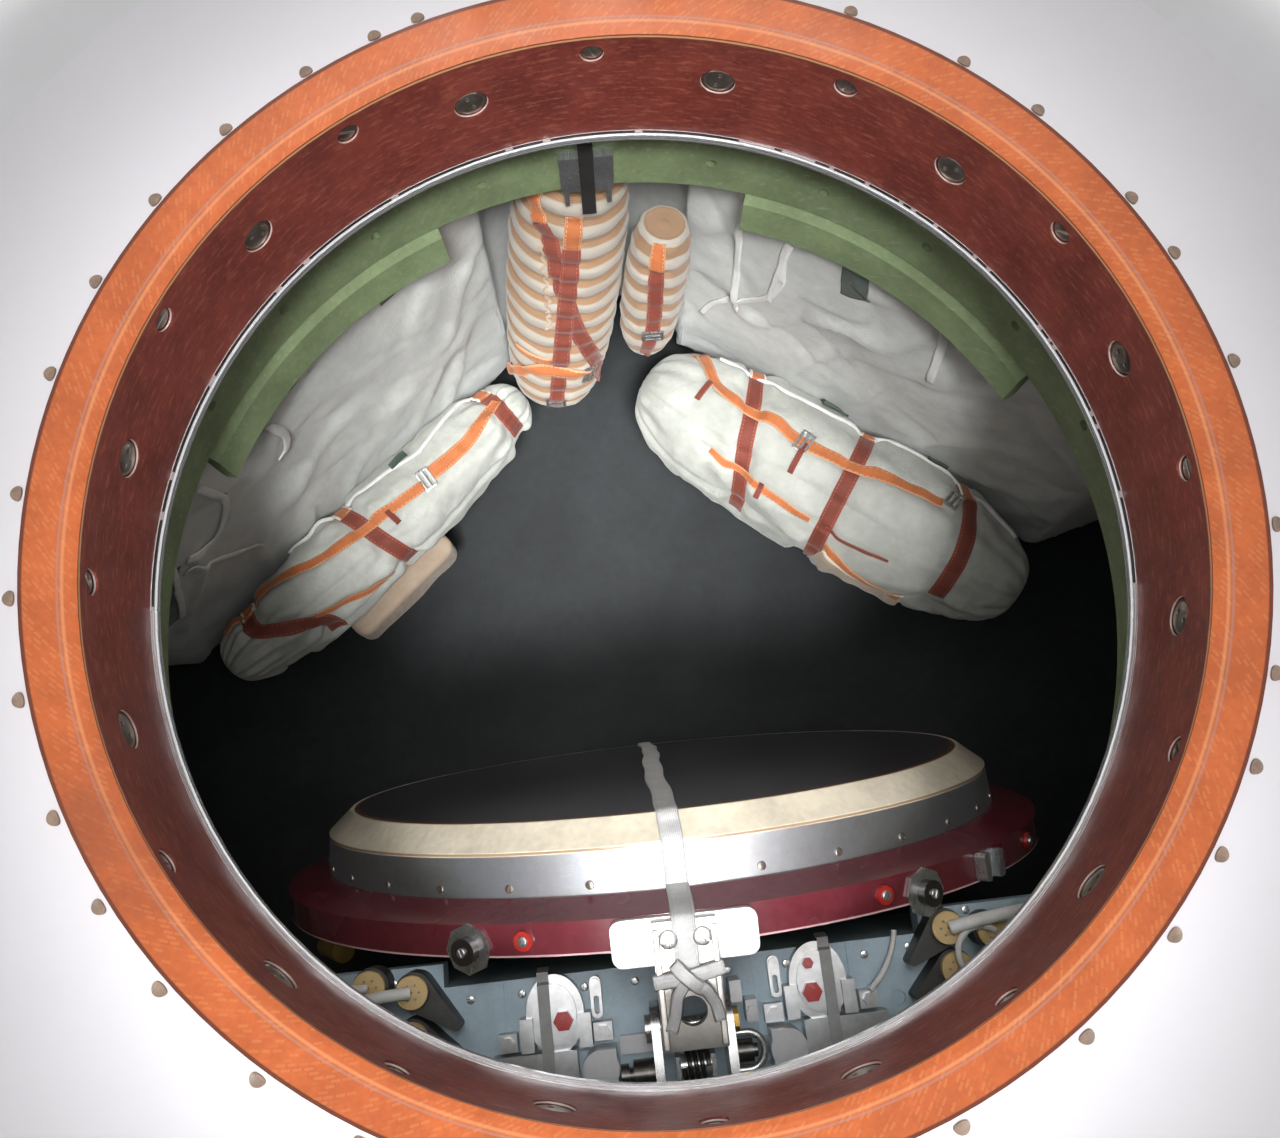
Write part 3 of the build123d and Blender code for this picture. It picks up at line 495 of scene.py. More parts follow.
class Shade(Wiring):
    """One material under construction round its Principled shader."""

    def __init__(self, name: str, roughness: float, metallic: float = 0.0, **sockets: float) -> None:
        """Start a material.

        Args:
            name: name of the finish.
            roughness: plain roughness, before any varying input.
            metallic: plain metallic value.
            sockets: other constant sockets of the shader, underscores for spaces.
        """
        self.mat = bpy.data.materials.new(name)
        self.mat.use_nodes = True
        super().__init__(self.mat.node_tree)
        self.shader = self.tree.nodes["Principled BSDF"]
        self.shader.inputs["Roughness"].default_value = roughness
        self.shader.inputs["Metallic"].default_value = metallic
        for label, value in sockets.items():
            self.shader.inputs[label.replace("_", " ")].default_value = value
        self.where = self.node("TexCoord")

    def effect(self, tree: Tree, **values: object) -> bpy.types.Node:
        """Place a shared group with its own values."""
        made = self.node("Group", node_tree=tree)
        for label, value in values.items():
            self.feed(made.inputs[label.replace("_", " ")], (*value, 1) if isinstance(value,
                                                                                      tuple) else value)
        return made

    def turned(self, location: Triple = (0, 0, 0), rotation: Triple = (0, 0, 0), scale: Triple = (1, 1, 1),
               source: str = "Object") -> Socket:
        """Object or UV coordinates after a Mapping node; rotation in degrees, location in metres."""
        return self.node("Mapping", Vector=self.where.outputs[source], Location=location,
                         Rotation=[radians(v) for v in rotation], Scale=scale).outputs[0]

    def colour(self, socket: Socket) -> None:
        """Feed the base colour."""
        self.tree.links.new(socket, self.shader.inputs["Base Color"])

    def rough(self, socket: Socket) -> None:
        """Feed the roughness."""
        self.tree.links.new(socket, self.shader.inputs["Roughness"])

    def bump(self, height: Socket, strength: float, distance: float) -> None:
        """Feed the normal from a height, with a distance in millimetres."""
        made = self.node("Bump", Height=height, Strength=strength, Distance=distance * MM)
        self.tree.links.new(made.outputs[0], self.shader.inputs["Normal"])


@dataclass(frozen=True)
class Paint:
    """Painted, moulded or plain metal face: two tones, grain and a little dirt."""

    name: str
    tone: Triple
    other: Triple
    roughness: float
    metallic: float = 0.0
    scale: float = 14.0
    spread: float = 0.5
    grain: float = 500.0
    bump: float = 0.15
    coat: float = 0.0
    scratched: float = 0.0

    def build(self, fx: Effects) -> Finish:
        """Build the material from the shared effects."""
        s = Shade(self.name, self.roughness, self.metallic, Coat_Weight=self.coat, Coat_Roughness=0.12)
        place = s.where.outputs["Object"]
        tone = s.effect(fx.mottle, Vector=place, Color_A=self.tone, Color_B=self.other, Scale=self.scale,
                        Spread=self.spread).outputs["Color"]
        grain = s.effect(fx.grain, Vector=place, Scale=self.grain, Roughness=self.roughness, Vary=0.12)
        if self.scratched:
            lines = s.effect(fx.scratches, Vector=s.turned(rotation=(20, 35, 50)), Scale=260.0, Stretch=0.04)
            pale = tuple(min(1.0, 0.55 + 0.5 * v) for v in self.tone)
            tone = s.mix(s.times(lines.outputs["Mask"], self.scratched), tone, pale)
        s.colour(tone)
        s.rough(grain.outputs["Roughness"])
        s.bump(grain.outputs["Height"], self.bump, 0.3)
        return s.mat


@dataclass(frozen=True)
class Machined:
    """Bright metal with fine turning or brush lines along one axis."""

    name: str
    tone: Triple
    roughness: float
    rotation: Triple = (0, 0, 0)
    lines: float = 500.0
    smudge: Triple = (0.35, 0.34, 0.33)

    def build(self, fx: Effects) -> Finish:
        """Build the material from the shared effects."""
        s = Shade(self.name, self.roughness, 0.85)
        place = s.turned(rotation=self.rotation)
        lines = s.effect(fx.scratches, Vector=place, Scale=self.lines, Stretch=0.02)
        dirt = s.effect(fx.mottle, Vector=place, Color_A=self.tone, Color_B=self.smudge, Scale=18.0,
                        Spread=0.9)
        s.colour(s.mix(s.times(lines.outputs["Mask"], 0.08), dirt.outputs["Color"], (0.97, 0.97, 0.96)))
        s.rough(s.ramp(lines.outputs["Height"], 0.3, 0.7, self.roughness * 0.92, self.roughness * 1.12))
        s.bump(lines.outputs["Height"], 0.03, 0.1)
        return s.mat


@dataclass(frozen=True)
class Cloth:
    """Woven fabric with folds of tone, threads and a soft sheen."""

    name: str
    tone: Triple
    other: Triple
    threads: float = 2400.0
    follows: Weave = Weave.SOLID
    rotation: Triple = (0, 0, 0)
    size: Pair = (1.0, 1.0)
    scale: float = 9.0
    spread: float = 0.6
    crease: float = 0.5

    def build(self, fx: Effects) -> Finish:
        """Build the material from the shared effects."""
        s = Shade(self.name, 0.82, Sheen_Weight=0.25, Sheen_Roughness=0.4)
        place = s.turned(rotation=self.rotation, scale=(*self.size, 1.0), source=self.follows.value)
        threads = s.effect(fx.weave, Vector=place, Threads=self.threads)
        solid = s.where.outputs["Object"]
        tone = s.effect(fx.mottle, Vector=solid, Color_A=self.tone, Color_B=self.other, Scale=self.scale,
                        Spread=self.spread).outputs["Color"]
        dark = tuple(v * 0.62 for v in self.other)
        s.colour(s.mix(s.times(threads.outputs["Gap"], 0.45), tone, dark))
        soft = s.noise(solid, 38.0, 4, 0.6)
        height = s.plus(s.times(threads.outputs["Height"], 0.12), s.times(soft, 2.2 * self.crease))
        s.bump(height, 0.55, 1.6)
        return s.mat


@dataclass(frozen=True)
class Web:
    """Strap webbing: lengthwise ribs, a stitched line by each edge and optional pale edges."""

    name: str
    tone: Triple
    edge: Triple
    stitch: Triple
    edge_part: float = 0.08

    def build(self, fx: Effects) -> Finish:
        """Build the material; U runs across the strap and V along it in metres."""
        s = Shade(self.name, 0.7, Sheen_Weight=0.2, Sheen_Roughness=0.4)
        split = s.node("SeparateXYZ", Vector=s.where.outputs["UV"])
        u, v = split.outputs[0], split.outputs[1]
        mid = s.math("ABSOLUTE", s.math("SUBTRACT", u, 0.5))
        ribs = s.math("SINE", s.times(u, 75.0))
        picks = s.math("SINE", s.times(v, 5200.0))
        worn = s.effect(fx.mottle, Vector=s.where.outputs["Object"], Color_A=self.tone,
                        Color_B=tuple(c * 0.6 for c in self.tone), Scale=60.0, Spread=0.55)
        tone = s.mix(s.ramp(mid, 0.5 - self.edge_part, 0.505 - self.edge_part), worn.outputs["Color"],
                     self.edge)
        dash = s.math("GREATER_THAN", s.math("SINE", s.times(v, 1600.0)), -0.2)
        line = s.times(s.band(mid, 0.345, 0.375, 0.006), dash)
        s.colour(s.mix(line, tone, self.stitch))
        weave = s.times(s.plus(ribs, 1.2), s.plus(picks, 1.6))
        s.bump(s.plus(s.times(weave, 0.18), line), 0.5, 0.5)
        return s.mat


@dataclass(frozen=True)
class Laminate:
    """Collar of woven laminate: orange brown with pale dashes on the lip; the tunnel painted dark as shade."""

    name: str = "collar_laminate"
    lip: Triple = (0.55, 0.135, 0.040)
    dash: Triple = (0.74, 0.34, 0.15)
    # tunnel wall tone: the lip's laminate painted darker as shade
    tunnel: Triple = (0.21, 0.046, 0.034)
    fibre: Triple = (0.40, 0.13, 0.075)

    def build(self, fx: Effects) -> Finish:
        """Build the material from its place round the hatch axis."""
        s = Shade(self.name, 0.45, Specular_IOR_Level=0.3)
        place = s.where.outputs["Object"]
        ring = s.effect(fx.around, Vector=place)
        arc = s.times(ring.outputs["Degrees"], TUNNEL_R * MM * pi / 180)
        flat = s.node("CombineXYZ", X=arc, Y=ring.outputs["Radius"], Z=0.0)
        slant = s.node("Mapping", Vector=flat.outputs[0], Rotation=(0, 0, radians(33)))
        brick = s.node("TexBrick", Vector=slant.outputs[0], Scale=1.0, Mortar_Size=0.0005, Mortar_Smooth=0.2,
                       Bias=0.0, Brick_Width=0.0050, Row_Height=0.0021, Color1=(0, 0, 0, 1),
                       Color2=(1, 1, 1, 1), Mortar=(0.3, 0.3, 0.3, 1))
        tint = s.node("SeparateColor", Color=brick.outputs["Color"]).outputs[0]
        pale = s.times(s.ramp(tint, 0.45, 0.8), s.ramp(brick.outputs["Fac"], 0.6, 0.1))
        lip = s.effect(fx.mottle, Vector=place, Color_A=self.lip, Color_B=(0.36, 0.085, 0.026), Scale=34.0,
                       Spread=0.65)
        top = s.mix(s.times(pale, 0.17), lip.outputs["Color"], self.dash)
        r = s.times(ring.outputs["Radius"], 1000.0)
        # painted highlight along the lip's rounded inner ridge
        top = s.mix(s.times(s.band(r, 323.4, 324.8, 0.35), 0.35), top, (0.74, 0.40, 0.20))
        top = s.mix(s.times(s.band(r, 325.6, 326.6, 0.2), 0.4), top, (0.28, 0.25, 0.25))
        # dark line at the lip's outer edge: partly the joint to the deck, partly painted shadow of the proud
        # edge
        top = s.mix(s.times(s.band(r, 340.3, 342.5, 0.3), 0.85), top, (0.075, 0.02, 0.014))
        smudge = s.ramp(s.noise(place, 6.0, 4, 0.65), 0.60, 0.72)
        top = s.mix(s.times(smudge, 0.5), top, (0.20, 0.06, 0.03))
        deep = s.node("CombineXYZ", X=s.times(arc, 0.4), Y=s.times(ring.outputs["Height"], 1.6), Z=0.0)
        fibres = s.ramp(s.noise(deep.outputs[0], 190.0, 3, 0.7), 0.52, 0.75)
        # tunnel wall: same laminate as the lip, painted dark brown as shade, with lighter fibres
        wall = s.effect(fx.mottle, Vector=place, Color_A=self.tunnel, Color_B=(0.115, 0.024, 0.019),
                        Scale=26.0, Spread=0.8)
        wall = s.mix(s.times(fibres, 0.75), wall.outputs["Color"], self.fibre)
        high = s.times(ring.outputs["Height"], 1000.0)
        # painted highlight along the rounded ridge at the tunnel's top edge
        wall = s.mix(s.band(high, SEAT_Z + 96.5, SEAT_Z + 98.2, 0.3), wall, (0.66, 0.36, 0.18))
        s.colour(s.mix(s.ramp(high, SEAT_Z + 98.6, SEAT_Z + 99.4), wall, top))
        grain = s.effect(fx.grain, Vector=place, Scale=420.0, Roughness=0.5, Vary=0.3)
        s.rough(grain.outputs["Roughness"])
        s.bump(s.plus(s.times(grain.outputs["Height"], 0.5), s.times(pale, 0.3)), 0.35, 0.4)
        return s.mat


@dataclass(frozen=True)
class Rim:
    """Bright machined rim ring with dark index slots round its bore."""

    name: str = "rim_bright"
    slots: Path = ((-9, 1.5), (2.3, 10.4), (11, 12.1), (12.8, 21.6), (22.3, 22.8), (23.3, 24.7), (25.4, 34.5),
                               (35.2, 36.9), (37.5, 43.3), (43.9, 46.7), (47.4, 48.6), (49.2, 53.6), (54.2,
                                                                                                      58.6),
                               (59.2, 61.2), (65.7, 66.7), (71.4, 84), (85, 96), (97, 101), (102, 117), (118,
                                                                                                         131),
                               (132, 136), (137, 150), (151.5, 163), (164, 168), (169, 179.5))

    def build(self, fx: Effects) -> Finish:
        """Build the material from its place round the hatch axis."""
        s = Shade(self.name, 0.22, 0.7)
        ring = s.effect(fx.around, Vector=s.where.outputs["Object"])
        arc = s.times(ring.outputs["Degrees"], TUNNEL_R * MM * pi / 180)
        turned = s.node("CombineXYZ", X=arc, Y=ring.outputs["Radius"], Z=ring.outputs["Height"])
        lines = s.effect(fx.scratches, Vector=turned.outputs[0], Scale=900.0, Stretch=0.02)
        r = s.times(ring.outputs["Radius"], 1000.0)
        total: Socket | None = None
        for low, high in self.slots:
            mark = s.band(ring.outputs["Degrees"], low, high, 0.08)
            total = mark if total is None else s.plus(total, mark, clamp=True)
        slot = s.times(total, s.band(r, 317.4, 319.4, 0.12))
        tone = s.mix(s.times(lines.outputs["Mask"], 0.3), (0.66, 0.67, 0.68), (0.88, 0.88, 0.88))
        s.colour(s.mix(s.times(slot, 0.93), tone, (0.02, 0.018, 0.016)))
        s.rough(s.ramp(lines.outputs["Height"], 0.3, 0.7, 0.16, 0.34))
        s.bump(s.math("SUBTRACT", s.times(lines.outputs["Height"], 0.2), slot), 0.4, 0.4)
        return s.mat


# how far the open lid is turned from its seat, in degrees, and the middle of its face in metres
LID_TURN = 80.5
LID_MIDDLE = Vector((0.0, -0.11165, 0.44241))


def lid_axes() -> tuple[Vector, Vector]:
    """Directions out of the open lid's face and down it, away from the hinge."""
    t = radians(LID_TURN)
    return Vector((0, sin(t), cos(t))), Vector((0, cos(t), -sin(t)))


@dataclass(frozen=True)
class LidFace:
    """Finish that is drawn round the lid's own axis: gloss disc with a rust line, or a painted ring."""

    name: str
    tone: Triple
    streak: Triple
    edge: Triple
    edge_at: Pair
    roughness: float
    coat: float = 0.5
    by_height: bool = False
    streaks: float = 0.5
    metallic: float = 0.0

    def build(self, fx: Effects) -> Finish:
        """Build the material; edge_at is where the edge line lies, in millimetres."""
        s = Shade(self.name, self.roughness, self.metallic, Coat_Weight=self.coat, Coat_Roughness=0.06)
        t = radians(LID_TURN)
        y, z = LID_MIDDLE.y, LID_MIDDLE.z
        shift = (0.0, -(y * cos(t) - z * sin(t)), -(y * sin(t) + z * cos(t)))
        place = s.turned(location=shift, rotation=(LID_TURN, 0, 0))
        ring = s.effect(fx.around, Vector=place)
        cloud = s.noise(place, 5.0, 3, 0.6)
        warped = s.node("VectorMath", operation="ADD")
        s.feed(warped.inputs[0], place)
        s.feed(warped.inputs[1], s.node("TexNoise", Vector=place, Scale=9.0).outputs["Color"])
        lines = s.effect(fx.scratches, Vector=warped.outputs[0], Scale=34.0, Stretch=0.25)
        amount = s.times(s.times(lines.outputs["Mask"], s.ramp(cloud, 0.4, 0.65)), self.streaks)
        tone = s.effect(fx.mottle, Vector=place, Color_A=self.tone,
                        Color_B=tuple(c * 0.55 for c in self.tone), Scale=18.0,
                        Spread=0.6)
        tone = s.mix(amount, tone.outputs["Color"], self.streak)
        measure = s.times(ring.outputs["Height" if self.by_height else "Radius"], 1000.0)
        line = s.band(measure, *self.edge_at, 0.25)
        s.colour(s.mix(line, tone, self.edge))
        grain = s.effect(fx.grain, Vector=place, Scale=260.0, Roughness=self.roughness, Vary=0.16)
        s.rough(grain.outputs["Roughness"])
        s.bump(s.plus(grain.outputs["Height"], s.times(lines.outputs["Height"], 0.6)), 0.08, 0.5)
        return s.mat


@dataclass(frozen=True)
class Corded:
    """Laced bag cloth: white rolls across and tan mesh in the furrows between them."""

    name: str
    rolls: int
    white: Triple = (0.40, 0.37, 0.32)
    mesh: Triple = (0.25, 0.135, 0.065)

    def build(self, fx: Effects) -> Finish:
        """Build the material; V runs along the bag once."""
        s = Shade(self.name, 0.8, Sheen_Weight=0.25, Sheen_Roughness=0.4)
        split = s.node("SeparateXYZ", Vector=s.where.outputs["UV"])
        wave = s.math("COSINE", s.times(split.outputs[1], 2 * pi * self.rolls))
        furrow = s.ramp(wave, 0.1, -0.2)
        place = s.turned(scale=(0.36, 0.35, 1), source="UV")
        threads = s.effect(fx.weave, Vector=place, Threads=2300.0)
        cloth = s.effect(fx.mottle, Vector=s.where.outputs["Object"], Color_A=self.white,
                         Color_B=(0.38, 0.33, 0.27), Scale=26.0, Spread=0.5).outputs["Color"]
        net = s.mix(s.times(threads.outputs["Gap"], 0.6), self.mesh, (0.55, 0.44, 0.33))
        s.colour(s.mix(furrow, cloth, net))
        soft = s.noise(s.where.outputs["Object"], 90.0, 4)
        s.bump(s.plus(s.times(threads.outputs["Height"], 0.3), s.times(soft, 1.2)), 0.5, 0.8)
        return s.mat


class Finishes:
    """Every finish of the part, built once and asked for by name."""

    TABLE = (
        Paint("deck_white", (0.735, 0.715, 0.745), (0.70, 0.675, 0.71), 0.62, scale=5, spread=0.5, grain=700,
              bump=0.06),
        Paint("skin_white", (0.72, 0.71, 0.73), (0.66, 0.65, 0.66), 0.45, scale=7, spread=0.6, grain=600,
              bump=0.08, coat=0.1),
        Paint("shell_alloy", (0.34, 0.35, 0.34), (0.24, 0.25, 0.24), 0.5, 0.5, scale=12, bump=0.2,
              scratched=0.2),
        Paint("ring_alloy", (0.60, 0.62, 0.63), (0.48, 0.50, 0.51), 0.32, 0.8, scale=20, grain=900, bump=0.12,
              scratched=0.3),
        Paint("primer_green", (0.215, 0.28, 0.145), (0.135, 0.175, 0.09), 0.55, scale=22, spread=0.8,
              grain=420, bump=0.25, scratched=0.18),
        # cabin floor painted near black so that the deep cabin reads as painted shade
        Paint("floor_painted_shade", (0.026, 0.030, 0.032), (0.012, 0.014, 0.015), 0.7, scale=10, spread=0.8,
              grain=150, bump=0.5),
        Paint("console_blue", (0.37, 0.47, 0.53), (0.28, 0.37, 0.43), 0.5, scale=70, spread=0.7, grain=1500,
              bump=0.3, scratched=0.12),
        Paint("bolt_red", (0.42, 0.022, 0.016), (0.27, 0.014, 0.01), 0.32, scale=90, coat=0.4, bump=0.1,
              scratched=0.1),
        Paint("connector_tan", (0.60, 0.43, 0.20), (0.48, 0.33, 0.14), 0.4, scale=90, bump=0.2),
        Paint("plate_white", (0.50, 0.50, 0.51), (0.38, 0.38, 0.40), 0.34, scale=50, spread=0.4, coat=0.4,
              bump=0.08, scratched=0.1),
        Paint("bar_black", (0.018, 0.018, 0.018), (0.035, 0.033, 0.03), 0.55, scale=60, bump=0.3),
        Paint("rubber_black", (0.022, 0.021, 0.02), (0.05, 0.047, 0.044), 0.5, scale=70, spread=0.6,
              grain=900, bump=0.35),
        Paint("roller_black", (0.016, 0.013, 0.013), (0.04, 0.03, 0.03), 0.16, scale=60, coat=0.8, bump=0.04),
        Paint("cable_white", (0.66, 0.655, 0.64), (0.52, 0.51, 0.49), 0.5, scale=110, spread=0.6, bump=0.2),
        Paint("cable_grey", (0.26, 0.26, 0.255), (0.17, 0.17, 0.17), 0.55, scale=110, bump=0.25),
        Paint("brass", (0.62, 0.40, 0.11), (0.42, 0.25, 0.06), 0.25, 0.9, scale=60, bump=0.1),
        Paint("screw_tan", (0.30, 0.20, 0.14), (0.14, 0.10, 0.08), 0.42, 0.0, scale=160, spread=0.8,
              grain=1500, bump=0.25),
        # pale paint on the tunnel washers is a painted highlight standing in for their metal shine
        Paint("washer_painted_glint", (0.74, 0.70, 0.64), (0.52, 0.48, 0.44), 0.3, 0.3, scale=140, spread=0.6,
              bump=0.1),
        Machined("fitting_silver", (0.56, 0.57, 0.58), 0.32, rotation=(0, 0, 20)),
        Machined("steel_bright", (0.56, 0.57, 0.58), 0.28, rotation=(0, 0, 90)),
        Machined("skirt_silver", (0.40, 0.42, 0.46), 0.40, rotation=(0, 0, 0), lines=420),
        Machined("arm_metal", (0.56, 0.54, 0.49), 0.36, rotation=(0, 90, 0), lines=380),
        Machined("spring_dark", (0.10, 0.095, 0.09), 0.3, rotation=(0, 0, 90), smudge=(0.04, 0.035, 0.03)),
        Machined("screw_steel", (0.40, 0.37, 0.34), 0.3, rotation=(0, 30, 40), lines=900,
                 smudge=(0.18, 0.14, 0.11)),
        Cloth("liner_grey", (0.50, 0.51, 0.49), (0.36, 0.37, 0.36), threads=2100, scale=7, spread=0.7,
              crease=0.6),
        Cloth("cover_right", (0.66, 0.68, 0.65), (0.46, 0.47, 0.46), threads=2100, rotation=(90, 0, -38),
              scale=8, spread=0.7, crease=0.7),
        Cloth("cover_left", (0.66, 0.68, 0.65), (0.46, 0.47, 0.46), threads=2100, rotation=(90, 0, -41),
              scale=8, spread=0.7, crease=0.7),
        Cloth("bag_pale", (0.50, 0.51, 0.47), (0.30, 0.31, 0.27), threads=1700, follows=Weave.LAID,
              size=(0.55, 0.5), scale=13, crease=1.3),
        Cloth("pouch_tan", (0.46, 0.36, 0.27), (0.34, 0.25, 0.18), threads=1900, follows=Weave.SOLID,
              rotation=(0, 0, 41), scale=18),
        Cloth("patch_green", (0.04, 0.075, 0.05), (0.02, 0.038, 0.028), threads=2600, follows=Weave.LAID,
              scale=40),
        Cloth("tape_white", (0.88, 0.88, 0.86), (0.76, 0.76, 0.74), threads=2600, follows=Weave.LAID,
              scale=40, crease=0.2),
        # dark green cloth strips laid beside the tapes as painted shade
        Cloth("painted_shade_strip", (0.05, 0.085, 0.065), (0.03, 0.05, 0.04), threads=2600, follows=Weave.LAID,
              scale=30),
        Web("web_orange", (0.52, 0.155, 0.045), (0.60, 0.30, 0.16), (0.70, 0.50, 0.34)),
        Web("web_red", (0.20, 0.040, 0.022), (0.28, 0.065, 0.04), (0.46, 0.16, 0.10)),
        Web("web_white", (0.54, 0.54, 0.54), (0.46, 0.46, 0.46), (0.36, 0.36, 0.36)),
        Web("web_tan", (0.62, 0.50, 0.36), (0.74, 0.66, 0.54), (0.42, 0.30, 0.20)),
        Web("web_loop", (0.54, 0.16, 0.045), (0.80, 0.76, 0.70), (0.86, 0.70, 0.52), edge_part=0.14),
        Laminate(),
        Rim(),
        LidFace("lid_disc", (0.072, 0.064, 0.074), (0.26, 0.26, 0.27), (0.38, 0.13, 0.05), (275.8, 281.0),
                0.13, coat=0.7, streaks=0.7),
        LidFace("lid_cream", (0.80, 0.72, 0.57), (0.86, 0.80, 0.68), (0.30, 0.20, 0.12), (-19.4, -17.6), 0.34,
                by_height=True, streaks=0.3),
        LidFace("lid_maroon", (0.15, 0.022, 0.032), (0.26, 0.07, 0.08), (0.62, 0.40, 0.40), (-79.2, -77.8),
                0.24, coat=0.25, by_height=True, streaks=0.35),
        Corded("cord_big", 13),
        Corded("cord_small", 7),
    )

    def __init__(self, fx: Effects) -> None:
        """Build every finish in the table."""
        self.made = {finish.name: finish.build(fx) for finish in self.TABLE}

    def __getitem__(self, name: str) -> Finish:
        """Finish of a name."""
        return self.made[name]


# finishes and the CAD nodes that stay as they are in each
KEPT = {
    "ring_alloy": ("aft_ring", "hatch_frame"),
    # cabin floor painted near black as painted shade of the deep cabin
    "floor_painted_shade": ("cabin_floor",),
    "shell_alloy": ("shell_crown", "shell_flank", "shell_wall"),
    "skin_white": ("outer_skin_1", "outer_skin_2", "outer_skin_3", "outer_skin_4"),
    "deck_white": ("outer_deck",),
    "collar_laminate": ("hatch_collar",),
    "rim_bright": ("rim_ring",),
    "primer_green": ("inner_frame", "rib_right", "rib_left", "lid_pan"),
    "console_blue": ("console",),
    "steel_bright": ("hinge_base", "hinge_pin", "lid_latches", "lid_bracket", "hinge_shackle",
                     "bag_clamp"),
    "spring_dark": ("hinge_spring", "hinge_locks"),
    "lid_disc": ("lid_disc",),
    "lid_cream": ("lid_bevel",),
    "skirt_silver": ("lid_skirt",),
    "lid_maroon": ("lid_flange",),
    "roller_black": ("lid_rollers",),
    "plate_white": ("hinge_plate", "stop_blocks", "hinge_posts"),
    "arm_metal": ("hinge_arm",),
    "bolt_red": ("lid_buttons", "fitting_bolts"),
    "brass": ("lid_valve", "pin_nut"),
    "fitting_silver": ("fitting_left", "fitting_right", "hold_downs"),
    "cable_grey": ("fitting_straps",),
    "rubber_black": ("boots_left", "boots_right"),
    "connector_tan": ("connectors_left", "connectors_right"),
    "cable_white": ("cables_left", "cables_right"),
    "bar_black": ("clamp_bar",),
}


def dress_nodes(finishes: Finishes) -> None:
    """Give every slot of each kept CAD node its procedural finish."""
    for finish, nodes in KEPT.items():
        for node in nodes:
            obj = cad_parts[node]
            if not obj.material_slots:
                obj.data.materials.append(finishes[finish])
            for place in obj.material_slots:
                place.material = finishes[finish]
            log.info("node %s in %s", node, finish)


# ---------------------------------------------------------------- studio


@dataclass
class Studio:
    """Camera of the photograph's view, soft lights and a pale floor."""

    eye: Triple = (-0.02476, -0.17568, 1.5147)
    right: Triple = (0.99410676, -0.10834567, 0.00359999)
    up: Triple = (0.1043551, 0.96542882, 0.23886651)
    ahead: Triple = (0.02935569, 0.23708314, -0.97104574)
    lens: float = 30.94
    sky: float = 0.41
    key: float = 3.4
    fill: float = 0.36
    inner: float = 2.25
    low: float = 0.34
    side: float = 8.5

    def build(self) -> None:
        """Set up the camera, the lamps, the world and the floor."""
        self._camera()
        self._lamp("key", (0.05, -0.25, 2.9), self.key, 1.7, (0.0, -0.1, 0.9))
        self._lamp("fill", (-0.03, -0.32, 1.75), self.fill, 0.4, (0.0, 0.16, 0.50), 75)
        self._lamp("inner", (-0.02, -0.68, 2.3), self.inner, 0.35, (-0.01, 0.25, 0.36), 22)
        self._lamp("low", (0.0, 0.04, 1.85), self.low, 0.5, (0.0, -0.27, 0.70), 36)
        for turn in (45, 135, 225, 315):
            a = radians(turn)
            self._lamp(f"side_{turn}", (2.6 * cos(a), 2.6 * sin(a), 0.85), self.side, 1.4, (0.0, 0.0, 0.45),
                       120)
        self._world()
        self._floor()

    def _camera(self) -> None:
        """Place the camera."""
        data = bpy.data.cameras.new("view")
        data.lens, data.sensor_width, data.sensor_fit, data.clip_start = self.lens, 36.0, "HORIZONTAL", 0.01
        cam = bpy.data.objects.new("view", data)
        bpy.context.collection.objects.link(cam)
        axes = Matrix((self.right, self.up, [-v for v in self.ahead])).transposed().to_4x4()
        cam.matrix_world = Matrix.Translation(self.eye) @ axes
        bpy.context.scene.camera = cam
        bpy.context.scene.view_settings.view_transform = "Standard"

    @staticmethod
    def _lamp(name: str, place: Triple, power: float, size: float, aim: Triple,
              spread: float = 180.0) -> None:
        """Add one square area lamp that points at a place, with a spread in degrees."""
        data = bpy.data.lights.new(name, "AREA")
        data.spread = radians(spread)
        data.energy, data.size, data.shape = power, size, "SQUARE"
        lamp = bpy.data.objects.new(name, data)
        lamp.visible_camera = False
        bpy.context.collection.objects.link(lamp)
        way = (Vector(aim) - Vector(place)).to_track_quat("-Z", "Y")
        lamp.matrix_world = Matrix.Translation(place) @ way.to_matrix().to_4x4()

    def _world(self) -> None:
        """Soft grey light, and white where the camera or a mirror sees the background."""
        world = bpy.data.worlds.new("studio")
        bpy.context.scene.world = world
        world.use_nodes = True
        w = Wiring(world.node_tree)
        back = world.node_tree.nodes["Background"]
        rays = w.node("LightPath")
        seen = w.math("MAXIMUM", rays.outputs["Is Camera Ray"],
                      w.math("MAXIMUM", rays.outputs["Is Glossy Ray"], rays.outputs["Is Transmission Ray"]))
        back.inputs["Color"].default_value = (1, 1, 1, 1)
        world.node_tree.links.new(w.ramp(seen, 0, 1, self.sky, 1.0), back.inputs["Strength"])

    @staticmethod
    def _floor() -> None:
        """Pale floor under the aft ring."""
        Bench.clear()
        bpy.ops.mesh.primitive_plane_add(size=12, location=(0, 0, 0))
        floor = bpy.context.object
        floor.name = "studio_floor"
        s = Shade("floor_pale", 0.6)
        tone = s.noise(s.where.outputs["Object"], 2.0, 3)
        s.colour(s.mix(tone, (0.80, 0.80, 0.79), (0.84, 0.84, 0.83)))
        floor.data.materials.append(s.mat)


# ---------------------------------------------------------------- webbing on surfaces


class Surface(Protocol):
    """Something that webbing, tape and cords can lie on."""

    step: float

    def point(self, a: float, b: float, lift: float) -> Vector:
        """Point at two surface coordinates and a height over the surface, in millimetres."""


